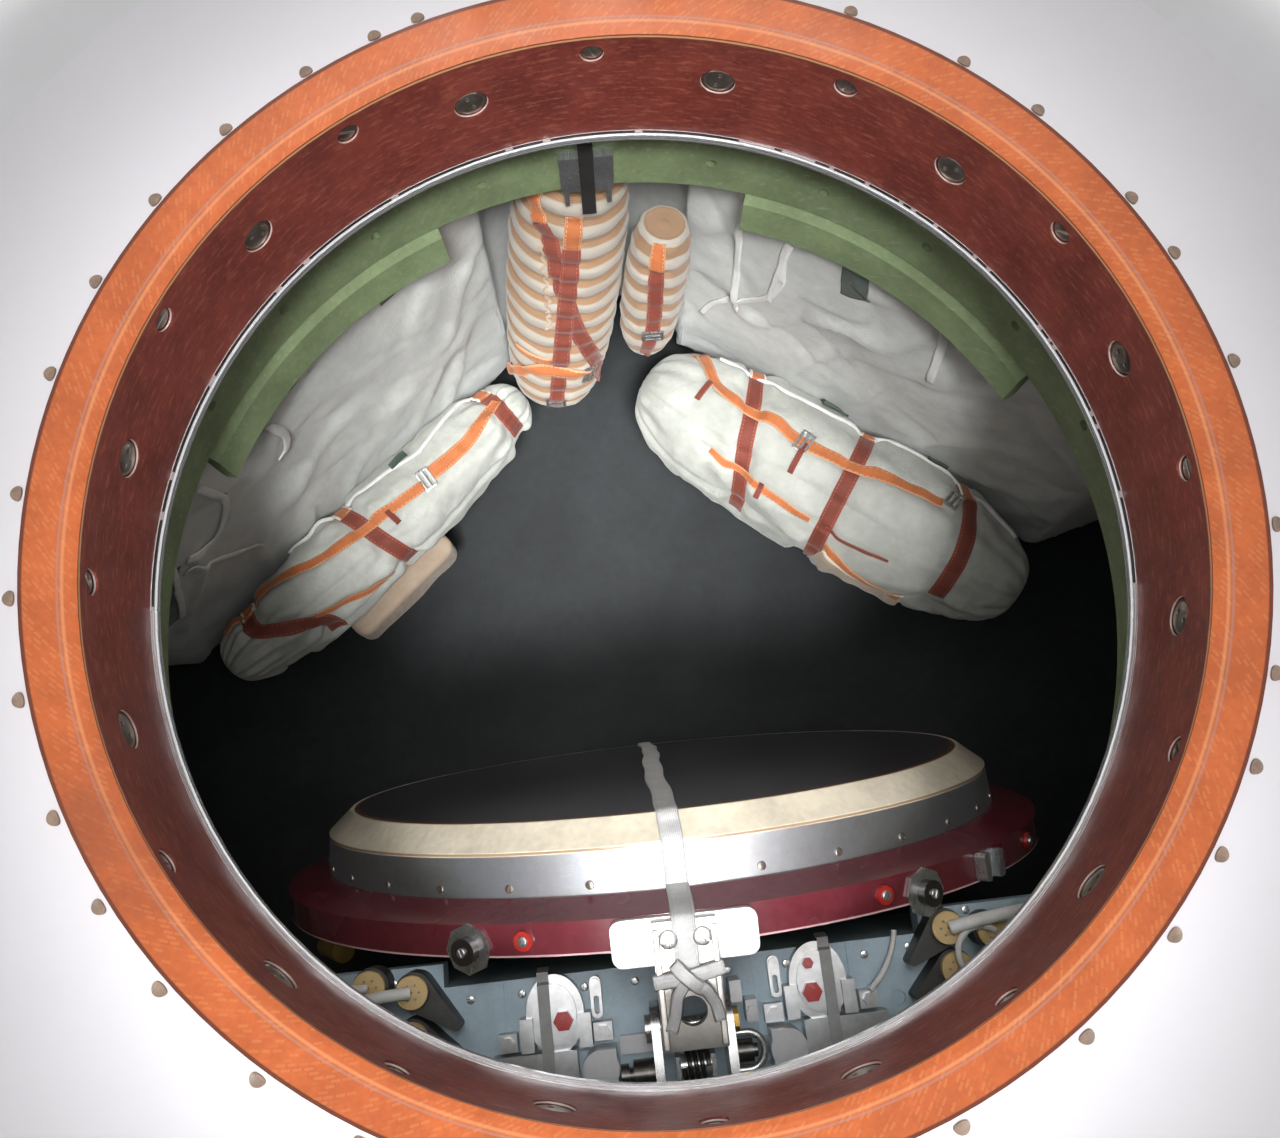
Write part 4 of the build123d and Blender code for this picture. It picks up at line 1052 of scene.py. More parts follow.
def through(path: Sequence[Pair], count: int) -> list[Pair]:
    """Smooth line through a few points, evenly divided."""
    ends = [path[0], *path, path[-1]]
    runs = len(path) - 1
    line = []
    for k in range(count + 1):
        t = min(k / count * runs, runs - 1e-9)
        i = int(t)
        f = t - i
        p0, p1, p2, p3 = ends[i], ends[i + 1], ends[i + 2], ends[i + 3]
        line.append(tuple(0.5 * (2 * b + (c - a) * f + (2 * a - 5 * b + 4 * c - d) * f * f
                                 + (3 * b - a - 3 * c + d) * f ** 3) for a, b, c, d in zip(p0, p1, p2, p3)))
    return line


def between(spots: Sequence[Pair], at: float) -> float:
    """Value at a place of the line through (place, value) spots; it runs level past its ends."""
    if at <= spots[0][0]:
        return spots[0][1]
    for (near, low), (far, high) in zip(spots, spots[1:]):
        if at <= far:
            return low + (high - low) * (at - near) / (far - near or 1)
    return spots[-1][1]


def webbing(name: str, surface: Surface, path: Sequence[Pair], width: float, lift: float = 1.0,
            thick: float = 1.6) -> Piece:
    """Flat strap that lies on a surface.

    Args:
        name: name of the new piece.
        surface: what it lies on.
        path: places along its middle, in the surface's coordinates.
        width: its width, in millimetres.
        lift: height of its underside over the surface.
        thick: its thickness.

    Returns:
        The closed strap mesh, U across and V along in metres.
    """
    reach = sum(hypot(q[0] - p[0], (q[1] - p[1]) * surface.step) for p, q in zip(path, path[1:]))
    count = max(6, int(reach / 4))
    line = through(path, count)
    across = (-1, -0.86, -0.3, 0.3, 0.86, 1)
    rows = []
    for i, (a, b) in enumerate(line):
        p, q = line[max(i - 1, 0)], line[min(i + 1, count)]
        da, db = q[0] - p[0], (q[1] - p[1]) * surface.step
        run = hypot(da, db) or 1.0
        na, nb = -db / run, da / run
        places = [(a + na * width / 2 * k, b + nb * width / 2 * k / surface.step) for k in across]
        tops = [surface.point(*c, lift + thick * (0.45 if abs(k) == 1 else 1.0)) for k,
                c in zip(across, places)]
        feet = [surface.point(*c, lift - (0.0 if abs(k) == 1 else 0.2)) for k, c in zip(across, places)]
        rows.append(tops + feet[::-1])
    obj = Bench.skin(name, rows, around=True, ends=True)
    uv = obj.data.uv_layers["UVMap"].data
    shares = [(k + 1) / 2 for k in across] + [(k + 1) / 2 for k in across[::-1]]
    wide = len(shares)
    for loop, spot_uv in zip(obj.data.loops, uv):
        j, i = divmod(loop.vertex_index, wide)
        if j <= count:
            spot_uv.uv = (shares[i], j / count * reach * MM)
    return obj


@dataclass
class Drape:
    """Front of a stowage cover: flat, leaning 5 degrees, with soft folds."""

    azimuth: float
    seed: float
    top: float = -180.3
    plane: float = 372.0
    lean: float = 5.0
    step: float = 1.0

    def axes(self) -> tuple[Vector, Vector, Vector]:
        """Directions along the front, up it and out of it."""
        a, t = radians(self.azimuth), radians(self.lean)
        out = Vector((-cos(t) * cos(a), -cos(t) * sin(a), -sin(t)))
        along = Vector((-sin(a), cos(a), 0))
        return along, Vector((-sin(t) * cos(a), -sin(t) * sin(a), cos(t))), out

    def fold(self, s: float, h: float) -> float:
        """How far the fabric stands out at a place on the front."""
        q = Vector((s / 150, h / 110, self.seed))
        broad = noise.noise(q) * 11.0
        crease = 1.0 - abs(noise.noise(Vector((s / 80 + h / 150, h / 210 - s / 260, self.seed + 7)))) * 5
        cross = 1.0 - abs(noise.noise(Vector((s / 120 - h / 90, h / 140 + s / 200, self.seed + 11)))) * 6
        fine = noise.noise(Vector((s / 26, h / 34, self.seed + 3))) * 1.6
        return min(8.0, broad + max(0.0, crease) * 6.0 - max(0.0, cross) * 4.0 + fine - 4.0)

    def point(self, a: float, b: float, lift: float) -> Vector:
        """Point at a distance along the front and a height over the seat."""
        turn = radians(self.azimuth)
        d = self.plane + (self.top - b) * tan(radians(self.lean))
        along, _, out = self.axes()
        base = spot(d * cos(turn), d * sin(turn), b)
        return base + (along * a + out * (self.fold(a, b) + lift)) * MM


@dataclass
class CabinLining:
    """Fabric covers and liners round the cabin, with their tapes and hook patches."""

    finishes: Finishes
    voxel: float = 9.0
    ceiling: Path = ((376.4, -122), (386, -133), (420, -143), (470, -155), (536, -169))
    wall: Path = ((540, -172), (575, -225), (607, -277), (629, -318), (660, -395), (688, -480), (699, -519))
    strips: tuple[tuple[str, str, float, Path], ...] = (
        # side, finish, width, places as (along, height)
        ("right", "tape_white", 8, ((164, -496), (152, -460), (128, -421))),
        ("right", "tape_white", 9, ((128, -421), (100, -380), (81, -342), (72, -298))),
        ("right", "tape_white", 9, ((72, -298), (76, -255), (72, -222))),
        ("right", "tape_white", 8, ((126, -172), (125, -300), (121, -432))),
        ("right", "tape_white", 7, ((72, -222), (78, -290), (82, -358))),
        ("right", "tape_white", 9, ((-104, -331), (-97, -280), (-89, -224))),
        ("right", "tape_white", 9, ((-89, -224), (-120, -226), (-154, -184))),
        # dark strips beside the tapes: painted shade
        ("right", "painted_shade_strip", 34, ((-112, -222), (-140, -226), (-164, -215))),
        ("right", "painted_shade_strip", 30, ((8, -196), (2, -232), (-2, -262))),
        ("right", "patch_green", 22, ((-56, -200), (-72, -212), (-92, -214))),
        ("left", "tape_white", 9, ((93, -252), (86, -292), (93, -333), (107, -335))),
        ("left", "tape_white", 9, ((176, -239), (168, -300), (186, -350), (209, -371), (235, -336))),
        ("left", "tape_white", 8, ((250, -370), (215, -430), (184, -476))),
        ("left", "tape_white", 9, ((113, -190), (104, -215), (100, -240))),
        # dark strip beside the tape: painted shade
        ("left", "painted_shade_strip", 40, ((262, -330), (290, -390), (318, -470))),
        ("left", "tape_white", 8, ((244, -300), (268, -390), (296, -480))),
        ("left", "patch_green", 26, ((-69, -196), (-72, -216), (-70, -240))),
        ("left", "patch_green", 24, ((58, -196), (52, -216), (50, -238))),
    )

    def build(self) -> None:
        """Make the liners, the covers and what is sewn on them."""
        self._liner("lining_ceiling", "liner_ceiling", self.ceiling, 6)
        self._liner("lining_wall", "liner_wall", self.wall, 4)
        self._back()
        fronts = {"right": Drape(52, 1.7), "left": Drape(131, 5.2)}
        for side, front in fronts.items():
            self._cover(side, front)
        for i, (side, finish, width, path) in enumerate(self.strips):
            lift, thick = (1.6, 1.8) if finish == "tape_white" else (0.4, 0.8)
            strip = webbing(f"tape_{side}_{i:02d}", fronts[side], path, width, lift, thick)
            Bench.fit(strip, self.finishes[finish], "liner_grey")

    def _liner(self, name: str, node: str, path: Sequence[Pair], swell: float) -> None:
        """Fabric liner spun round the axis, with sags between its ties."""
        turns, ties = 288, 24
        rows = []
        for r, h in through(path, 26):
            row = []
            for i in range(turns):
                a = 360 * i / turns
                sag = (0.5 + 0.5 * cos(radians(a * ties))) * swell * 0.35
                wrinkle = noise.noise(Vector((cos(radians(a)) * 9, sin(radians(a)) * 9,
                                              h / 60))) * swell * 0.6
                row.append(polar(r + 1.5 - sag - abs(wrinkle) * 0.6, a, h - 1 - sag * 0.3))
            rows.append(row)
        obj = Bench.skin(name, rows, around=True)
        Bench.reshape(obj, "SOLIDIFY", thickness=2.4 * MM, offset=0.0)
        Bench.fit(obj, self.finishes["liner_grey"], "liner_grey")
        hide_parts(node)

    def _back(self) -> None:
        """Cloth hung between the covers, behind the laced bags."""
        tall, wide, rows = 60, 72, []
        for j in range(tall + 1):
            h = -152 - 460 * j / tall
            row = []
            for i in range(wide + 1):
                a = 77.2 + 28.6 * i / wide
                bow = 512 - 66 * abs((a - 91.5) / 14.3) ** 4
                pleat = 7 * sin(radians(i * 21 + 25 * noise.noise(Vector((i / 9, h / 120, 3)))))
                sag = noise.noise(Vector((i / 14, h / 90, 8))) * 9
                row.append(polar(bow + pleat * (0.4 + 0.6 * j / tall) + sag, a, h))
            rows.append(row)
        obj = Bench.skin("lining_back", rows, around=False)
        Bench.reshape(obj, "SOLIDIFY", thickness=2.0 * MM, offset=0.0)
        Bench.fit(obj, self.finishes["liner_grey"], "liner_grey")

    def _cover(self, side: str, front: Drape) -> None:
        """Stowage cover: the node's block remeshed, with folds on its front."""
        obj = Bench.soft_copy(f"cover_{side}", f"stowage_cover_{side}", self.voxel)
        along, _, out = front.axes()
        for vertex, normal in zip(obj.data.vertices, [v.normal.copy() for v in obj.data.vertices]):
            near = max(0.0, normal.dot(out))
            p = vertex.co / MM
            s, h = p.dot(along), p.z - SEAT_Z
            move = front.fold(s, h) * near ** 2 if near > 0.2 else 0.0
            vertex.co += out * move * MM
        bpy.ops.object.shade_smooth()
        Bench.fit(obj, self.finishes[f"cover_{side}"], "liner_grey")
        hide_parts(f"cover_{side}")


# ---------------------------------------------------------------- stowage bags


@dataclass
class Buckle:
    """Flat slide buckle with two slots, modelled once as a plate and copied."""

    wide: float = 26.0
    long: float = 17.0
    thick: float = 2.4

    def build(self) -> Piece:
        """Make the slotted plate, middle at the origin, lying in XY."""
        Bench.clear()
        bpy.ops.mesh.primitive_grid_add(x_subdivisions=7, y_subdivisions=5, size=1, location=(0, 0, 0))
        obj = bpy.context.object
        obj.scale = (self.wide * MM, self.long * MM, 1)
        bpy.ops.object.transform_apply(location=True, rotation=True, scale=True)
        reach, low, high = self.wide * 0.33 * MM, self.long * 0.1 * MM, self.long * 0.3 * MM
        Bench.faces(obj, lambda c, n: abs(c.x) < reach and low < abs(c.y) < high)
        bpy.ops.mesh.delete(type="FACE")
        bpy.ops.object.mode_set(mode="OBJECT")
        Bench.reshape(obj, "SOLIDIFY", thickness=self.thick * MM, offset=0.0)
        return Bench.bevel(obj, 0.6, 2, 50)

    def on(self, surface: Surface, at: Sequence[Triple], lift: float, name: str) -> Piece:
        """Copies on a surface; each place is two surface coordinates and a turn in degrees."""
        places = []
        for a, b, turn in at:
            out = (surface.point(a, b, 20) - surface.point(a, b, 0)).normalized()
            places.append(seated(surface.point(a, b, lift), out, turn))
        return Bench.stamp(self.build(), places, name)


@dataclass
class StowageBag:
    """Long stuffed bag on a cover's foot, with straps, bands, piping and buckles."""

    ROUND = 2.8                     # how square the ends are
    STRAP_DENT, STRAP_REACH = 7.5, 15
    BAND_DENT, BAND_REACH = 3.6, 0.62
    SEAMS = (66.0, 14.0, -34.0)     # lengthwise seams, as angles round the bag
    SEAM_DENT, SEAM_REACH = 3.4, 4.5

    finishes: Finishes
    side: str
    azimuth: float
    radius: float
    length: float
    shift: float
    cross: tuple[Path, ...]
    bands: Spans
    piping: Path
    tabs: Spans
    buckles: tuple[Triple, ...]
    seed: float = 0.0
    height: float = -560.0
    raised: Pair = (0.0, 0.0)    # how far the low and the high end curve up
    step: float = field(init=False)

    def __post_init__(self) -> None:
        """Work out the bag's axes from its cover."""
        self.step = self.radius * pi / 180
        front = Drape(self.azimuth, 0.0)
        self.along, self.up, self.out = front.axes()
        a = radians(self.azimuth)
        d = front.plane + (front.top - self.height) * tan(radians(front.lean))
        self.middle = spot(d * cos(a), d * sin(a), self.height) + self.out * (self.radius + 0.3) * MM

    def depth(self, x: float, v: float) -> float:
        """Radius of the stuffed shell at a place along the bag and an angle round it."""
        half = self.length / 2
        u = max(-1.0, min(1.0, (x - self.shift) / half))
        base = self.radius * (1 - abs(u) ** self.ROUND) ** (1 / self.ROUND)
        lump = noise.noise(Vector((x / 75, cos(radians(v)) * 1.4, sin(radians(v)) * 1.4 + self.seed))) * 6.0
        pucker = noise.noise(Vector((x / 19, v / 22, self.seed + 4))) * 2.6
        gather = cos(radians(v * 15 + 40 * self.seed)) * 2.2 * max(0.0, abs(u) - 0.6) / 0.4
        sink = 0.0
        for path in self.cross:
            mid = between(sorted((turn, place) for place, turn in path), v)
            far = abs(x - mid)
            sink += self.STRAP_DENT * exp(-(far / self.STRAP_REACH) ** 4)
            lump += 2.8 * sin(radians(v * 11 + mid)) * exp(-(far - 22) ** 2 / 420) * (1 if far > 12 else 0)
        for _, width, path in self.bands:
            low, high = sorted((path[0][0], path[-1][0]))
            if low - 14 < x < high + 14:
                far = abs(v - between(sorted(path), x)) * self.step
                sink += self.BAND_DENT * exp(-(far / (width * self.BAND_REACH)) ** 4)
        round_by = (v + 180) % 360 - 180
        for seam in self.SEAMS:
            sway = seam + 3.0 * sin(x / 55 + seam)
            sink += self.SEAM_DENT * exp(-((round_by - sway) * self.step / self.SEAM_REACH) ** 2)
        total = base * 0.985 - 2.5 + (lump + pucker + gather) * min(1.0, base / 40) - sink * min(1.0,
                                                                                                 base / 45)
        return max(0.6, min(total, self.radius))

    def point(self, a: float, b: float, lift: float) -> Vector:
        """Point at a distance along the bag and an angle round it."""
        r = self.depth(a, b) + lift
        v = radians(b)
        half = self.length / 2
        x = self.shift + max(-half, min(half, a - self.shift))
        u = (x - self.shift) / half
        curl = self.raised[0 if u < 0 else 1] * u * u
        away = self.out * cos(v) + self.up * sin(v)
        return self.middle + (self.along * x + away * r + self.up * curl) * MM

    def build(self) -> None:
        """Make the shell and everything sewn or buckled on it."""
        half, rows, along, around = self.length / 2, [], 132, 112
        for i in range(along + 1):
            u = sin((i / along - 0.5) * pi) * 0.42 + (i / along - 0.5) * 2 * 0.58
            x = self.shift + half * u * 0.9985
            rows.append([self.point(x, 360 * k / around, 0) for k in range(around)])
        bag = Bench.skin(f"stowage_bag_{self.side}", rows, around=True, ends=True)
        Bench.fit(bag, self.finishes["bag_pale"], "bag_white")
        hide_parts(f"bag_{self.side}")
        self._straps()
        self._trim()

    def _straps(self) -> None:
        """Cross straps, each with an orange loop at its top, lengthwise bands and tabs."""
        for i, path in enumerate(self.cross):
            top = path[0]
            over = [(top[0] - 3, min(top[1] + 34, 215)), *path, (path[-1][0] - 2, path[-1][1] - 50)]
            strap = webbing(f"bag_{self.side}_strap_{i}", self, over, 19, 0.8)
            Bench.fit(strap, self.finishes["web_red"], "pouch_tan")
            nxt = path[1]
            k = min(1.0, 30 / max(1.0, abs(top[1] - nxt[1]) * self.step))
            foot = (top[0] + (nxt[0] - top[0]) * k, top[1] + (nxt[1] - top[1]) * k)
            loop = webbing(f"bag_{self.side}_loop_{i}", self, [top, foot], 20, 2.6, 2.4)
            Bench.fit(loop, self.finishes["web_loop"], "pouch_tan")
        for kind, spans, lift, thick in (("band", self.bands, 2.6, 1.6), ("tab", self.tabs, 3.4, 1.2)):
            for i, (finish, width, path) in enumerate(spans):
                band = webbing(f"bag_{self.side}_{kind}_{i}", self, path, width, lift, thick)
                Bench.fit(band, self.finishes[finish], "pouch_tan")

    def _trim(self) -> None:
        """White piping and the slide buckles."""
        line = [self.point(a, b, 1.2) for a, b in through(self.piping, 28)]
        Bench.fit(Bench.tube(f"bag_{self.side}_piping", line, 2.6), self.finishes["cable_white"],
                  "strap_white")
        buckles = Buckle().on(self, self.buckles, 5.2, f"bag_{self.side}_buckles")
        Bench.fit(buckles, self.finishes["steel_bright"], "steel_bright")


@dataclass
class Pouch:
    """Small soft pouch that replaces its CAD block."""

    finishes: Finishes
    name: str
    node: str

    def build(self) -> None:
        """Remesh and puff the node's block."""
        obj = Bench.soft_copy(self.node, self.name, 4.5)
        Bench.reshape(obj, "SMOOTH", factor=0.6, iterations=8)
        for vertex, normal in zip(obj.data.vertices, [v.normal.copy() for v in obj.data.vertices]):
            q = vertex.co * 32
            vertex.co += normal * noise.noise(q) * 1.8 * MM
        bpy.ops.object.shade_smooth()
        Bench.fit(obj, self.finishes["pouch_tan"], "pouch_tan")
        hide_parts(self.node)


@dataclass
class LacedRoll:
    """Upright laced bag of stuffed rolls, with its straps."""

    finishes: Finishes
    name: str
    node: str
    head: Triple
    foot: Triple
    belly: float
    end_r: float
    rolls: int
    finish: str
    straps: tuple[tuple[str, float, float, Path], ...]
    buckles: tuple[Triple, ...]
    lace: Path = ()
    step: float = field(init=False)

    def __post_init__(self) -> None:
        """Work out the axes from the head and the foot."""
        a, b = Vector(self.head), Vector(self.foot)
        self.tall = (a - b).length
        self.axis = (a - b).normalized()
        self.side = (Vector((1, 0, 0)) - self.axis * self.axis.x).normalized()
        self.back = self.axis.cross(self.side)
        self.step = self.belly * pi / 180

    def depth(self, t: float, v: float) -> float:
        """Radius of the rolls at a share of the length and an angle."""
        spots = ((0, self.end_r), (0.07, self.belly * 0.88), (0.28, self.belly * 0.98), (0.5, self.belly),
                 (0.72, self.belly * 0.98), (0.93, self.belly * 0.88), (1, self.end_r))
        base = between(spots, t)
        wave = cos(2 * pi * (t * self.rolls + 0.12 * noise.noise(Vector((v / 50, t * 3, 2)))))
        ridge = sqrt(max(0.0, 0.5 + 0.5 * wave)) - 1.0
        pinch = sum(exp(-(((v - b + 540) % 360 - 180) * self.step / 14) ** 4) for b in self._upright(t))
        rough = noise.noise(Vector((t * 24, v / 22, self.belly))) * 1.4
        return base * 0.99 + ridge * 5.0 * self.belly / 60 + rough - 0.8 - min(1.0, pinch) * 2.5

    def _upright(self, t: float) -> list[float]:
        """Angles of the upright straps at a share of the length; a short strap isn't upright."""
        found = []
        for _, _, _, path in self.straps:
            spots = sorted((a / self.tall, b) for a, b in path)
            if spots[-1][0] - spots[0][0] >= 0.3 and spots[0][0] <= t <= spots[-1][0]:
                found.append(between(spots, t))
        return found

    def point(self, a: float, b: float, lift: float) -> Vector:
        """Point at a distance up the bag and an angle round it."""
        t = max(0.0, min(1.0, a / self.tall))
        r, v = self.depth(t, b) + lift, radians(b)
        c = Vector(self.foot) + self.axis * t * self.tall + (self.side * cos(v) + self.back * sin(v)) * r
        return spot(*c)

    def build(self) -> None:
        """Make the rolls, the straps, the buckles and the lacing."""
        count, around = self.rolls * 12, 72
        rows = [[self.point(self.tall * j / count, 360 * k / around, 0) for k in range(around)]
                for j in range(count + 1)]
        first, last = rows[0], rows[-1]
        caps = (0.86, 0.72, 0.56, 0.40, 0.24)
        for row, inward in ((first, 1), (last, -1)):
            hub = sum(row, Vector()) / len(row)
            for i, share in enumerate(caps):
                sunk = self.axis * inward * (2.2 if i % 2 else 0.4) * MM
                rows.insert(0 if row is first else len(rows), [hub + (p - hub) * share + sunk for p in row])
        bag = Bench.skin(self.name, rows, around=True, ends=True)
        uv, wide = bag.data.uv_layers["UVMap"].data, len(rows[0])
        for loop, place in zip(bag.data.loops, uv):
            j = loop.vertex_index // wide
            share = (j - len(caps)) / count
            if share > 1.0 or share < 0.0:
                share = (1.0 if share > 1.0 else 0.0) + (0.5 if share < 0.0 else -0.5) / self.rolls
            place.uv = (place.uv[0], share)
        Bench.fit(bag, self.finishes[self.finish], "bag_stripe")
        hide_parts(self.node)
        for i, (finish, width, lift, path) in enumerate(self.straps):
            strap = webbing(f"{self.name}_strap_{i}", self, path, width, lift)
            Bench.fit(strap, self.finishes[finish], "pouch_tan")
        buckles = Buckle(22, 14).on(self, self.buckles, 5.5, f"{self.name}_buckles")
        Bench.fit(buckles, self.finishes["steel_bright"], "steel_bright")
        if self.lace:
            line = []
            for i, (t, v) in enumerate(through(self.lace, 22)):
                line.append(self.point(t, v + (4 if i % 2 else -4), 1.6))
            Bench.fit(Bench.tube(f"{self.name}_lace", line, 1.5), self.finishes["pouch_tan"], "strap_white")


# ---------------------------------------------------------------- screws


@dataclass
class ScrewHeads:
    """Screw heads of every kind, each modelled once and copied."""

    # outer skin from the deck down: a quarter bend, then a wall that flares a little
    FLANK_RUN, BEND_RUN = 1042, 411.5
    BEND_AT, BEND_R = 455, 262
    WALL_TOP, FLARE = -150, 0.0444

    finishes: Finishes
    deck_r: float = 348.5
    deck_at: tuple[float, ...] = (
        -177.8, -168.5, -157.6, -149, -140.4, -129.4, -119.6, -109.5, -99.5, -89.5, -79.5, -70.2,
        -57.6, -46.3, -38.3, -30, -21.4, -7.6, 8.6, 20.7, 27.6, 40.5, 49.5, 62.2, 73.5, 85,
        96.5, 107.8, 112.6, 120.5, 130.5, 140.5, 150.5, 160.5, 172.4)

    def build(self) -> None:
        """Make the deck, tunnel, lid and outer skin screws."""
        self._deck()
        self._tunnel()
        self._lid()
        self._skin()

    def slotted(self, radius: float, height: float, slot: float, sides: int = 20,
                crown: float = 0.5) -> Piece:
        """Slotted head that stands on the XY plane, with a crowned edge."""
        head = Bench.cylinder("head", radius, -0.6, height, sides)
        Bench.tops(head, radius * 0.22, crown)
        if slot:
            Bench.cut(head, Bench.block("slot", (radius * 1.7, slot, height), (0, 0, height + crown * 0.4)))
        return Bench.bevel(head, min(0.25, height * 0.2), 1, 30)

    def _deck(self) -> None:
        """Bean-shaped heads on the deck round the collar."""
        head = Bench.cylinder("head", 3.1, -0.5, 1.6, 20)
        Bench.tops(head, 0.8, -0.5)
        for vertex in head.data.vertices:
            vertex.co.x *= 1.4
            vertex.co.y -= (vertex.co.x / MM) ** 2 * 0.05 * MM
        Bench.bevel(head, 0.2, 2, 35)
        places = []
        for a in self.deck_at:
            turn = radians(a)
            move = Matrix.Translation(spot(self.deck_r * cos(turn), self.deck_r * sin(turn), DECK_Z))
            places.append(move @ Matrix.Rotation(turn - pi / 2, 4, "Z"))
        Bench.fit(Bench.stamp(head, places, "deck_screws"), self.finishes["screw_tan"], "ring_alloy")

    def _tunnel(self) -> None:
        """Two-hole heads in the large recesses, slotted ones in the small, a ring round each."""
        big = Bench.cylinder("head", 10.6, -0.5, 2.3, 40)
        Bench.tops(big, 1.0, -0.7)
        Bench.inset(big, lambda c, n: n.z > UPWARD and abs(c.z - 1.6 * MM) < 0.3 * MM, 0.9, 0.9)
        for x in (-4.6, 4.6):
            hole = Bench.cylinder("hole", 1.7, 0.2, 6, 12)
            hole.data.transform(Matrix.Translation((x * MM, 0, 0)))
            Bench.cut(big, hole)
        Bench.bevel(big, 0.2, 1, 30)
        small = self.slotted(6.9, 1.9, 1.5, 28)

        def round_wall(radius: float, first: float, height: float, spin: float) -> list[Matrix]:
            """Twelve placements round the tunnel's wall that face the hatch axis."""
            turns = [first + 30 * i for i in range(12)]
            return [seated(polar(radius, a, height), -polar(1000, a, -SEAT_Z), spin * i)
                    for i, a in enumerate(turns)]

        for size, head, first, height in (("big", big, 15, 57.0), ("small", small, 0, 82.0)):
            screws = Bench.stamp(head, round_wall(323.1, first, height, 37.0), f"tunnel_screws_{size}")
            Bench.fit(screws, self.finishes["screw_steel"], "fitting_silver")
        for size, outer, inner, first, height in (("big", 12.9, 11.5, 15, 57.0), ("small", 8.6, 7.6, 0, 82.0)):
            ring = Bench.cylinder("ring", outer, -0.5, 0.45, 40)
            Bench.cut(ring, Bench.cylinder("bore", inner, -2, 2, 40))
            Bench.bevel(ring, 0.15, 1, 30)
            rings = Bench.stamp(ring, round_wall(320.2, first, height, 0.0), f"tunnel_rings_{size}")
            # rings painted pale: painted highlight for the washers' shine
            Bench.fit(rings, self.finishes["washer_painted_glint"], "fitting_silver")

    def _lid(self) -> None:
        """Small heads round the skirt, large ones on the arm, steel middles of the buttons."""
        out, down = lid_axes()

        def on_lid(angle: float, radius: float, height: float, lean: float = 0.0,
                   turn: float = 0.0) -> Matrix:
            """Placement on the lid's rim, by its own angle, radius and height."""
            a = radians(angle)
            away = Vector((1, 0, 0)) * cos(a) + down * sin(a)
            place = LID_MIDDLE + away * radius * MM + out * height * MM
            return seated(place, (away * cos(radians(lean)) + out * sin(radians(lean))), turn)

        skirt = [on_lid(11.25 * i, 304.7, -42.0, 4, 23.0 * i) for i in range(32)]
        pins = [on_lid(a, 349.5, -73.0) for a in (-115, -60, 65, 120)]
        caps = [on_lid(a, 343.0, -68.0) for a in (-108, -66, -34)]
        arm = []
        for x, turn in ((-11, 15), (11, -40)):
            place = LID_MIDDLE - down * 350.0 * MM + out * -71.0 * MM + Vector((x * MM, 0, 0))
            arm.append(seated(place, -down, turn))
        for name, head, places, finish, slot in (
                ("skirt_screws", (3.1, 0.8, 0.7, 14, 0.3), skirt, "screw_steel", "fitting_silver"),
                ("roller_pins", (3.4, 1.6, 0.9), pins, "steel_bright", "steel_bright"),
                ("button_caps", (3.6, 1.3, 0.0), caps, "steel_bright", "steel_bright"),
                ("arm_screws", (6.2, 1.8, 1.3, 24), arm, "steel_bright", "steel_bright")):
            screws = Bench.stamp(self.slotted(*head), places, name)
            Bench.fit(screws, self.finishes[finish], slot, Body.LID)

    def _skin(self) -> None:
        """Flush fasteners along the seams and the foot of the outer skins."""
        places = []

        def on_flank(angle: float, share: float) -> Matrix:
            """Placement down the rounded flank and the flared wall, share 0 to 1."""
            run = share * self.FLANK_RUN
            if run < self.BEND_RUN:
                b = radians(90 - run / self.BEND_R * 180 / pi)
                away = (cos(b), sin(b))
                r, h = self.BEND_AT + self.BEND_R * away[0], self.WALL_TOP + self.BEND_R * away[1]
            else:
                d = run - self.BEND_RUN
                away = (0.999, self.FLARE)
                r, h = self.BEND_AT + self.BEND_R + d * self.FLARE, self.WALL_TOP - d
            a = radians(angle)
            out = Vector((away[0] * cos(a), away[0] * sin(a), away[1]))
            return seated(polar(r - 0.2, angle, h), out, share * 500)

        for seam in range(4):
            for side in (-2.0, 2.0):
                places += [on_flank(90 * seam + side, 0.05 + 0.9 * i / 17) for i in range(18)]
        places += [on_flank(7.5 * i + 3.75, 0.955) for i in range(48)]
        head = self.slotted(3.6, 0.5, 0.0, 12, 0.2)
        Bench.fit(Bench.stamp(head, places, "skin_fasteners"), self.finishes["ring_alloy"], "ring_alloy")


# ---------------------------------------------------------------- lid and console details


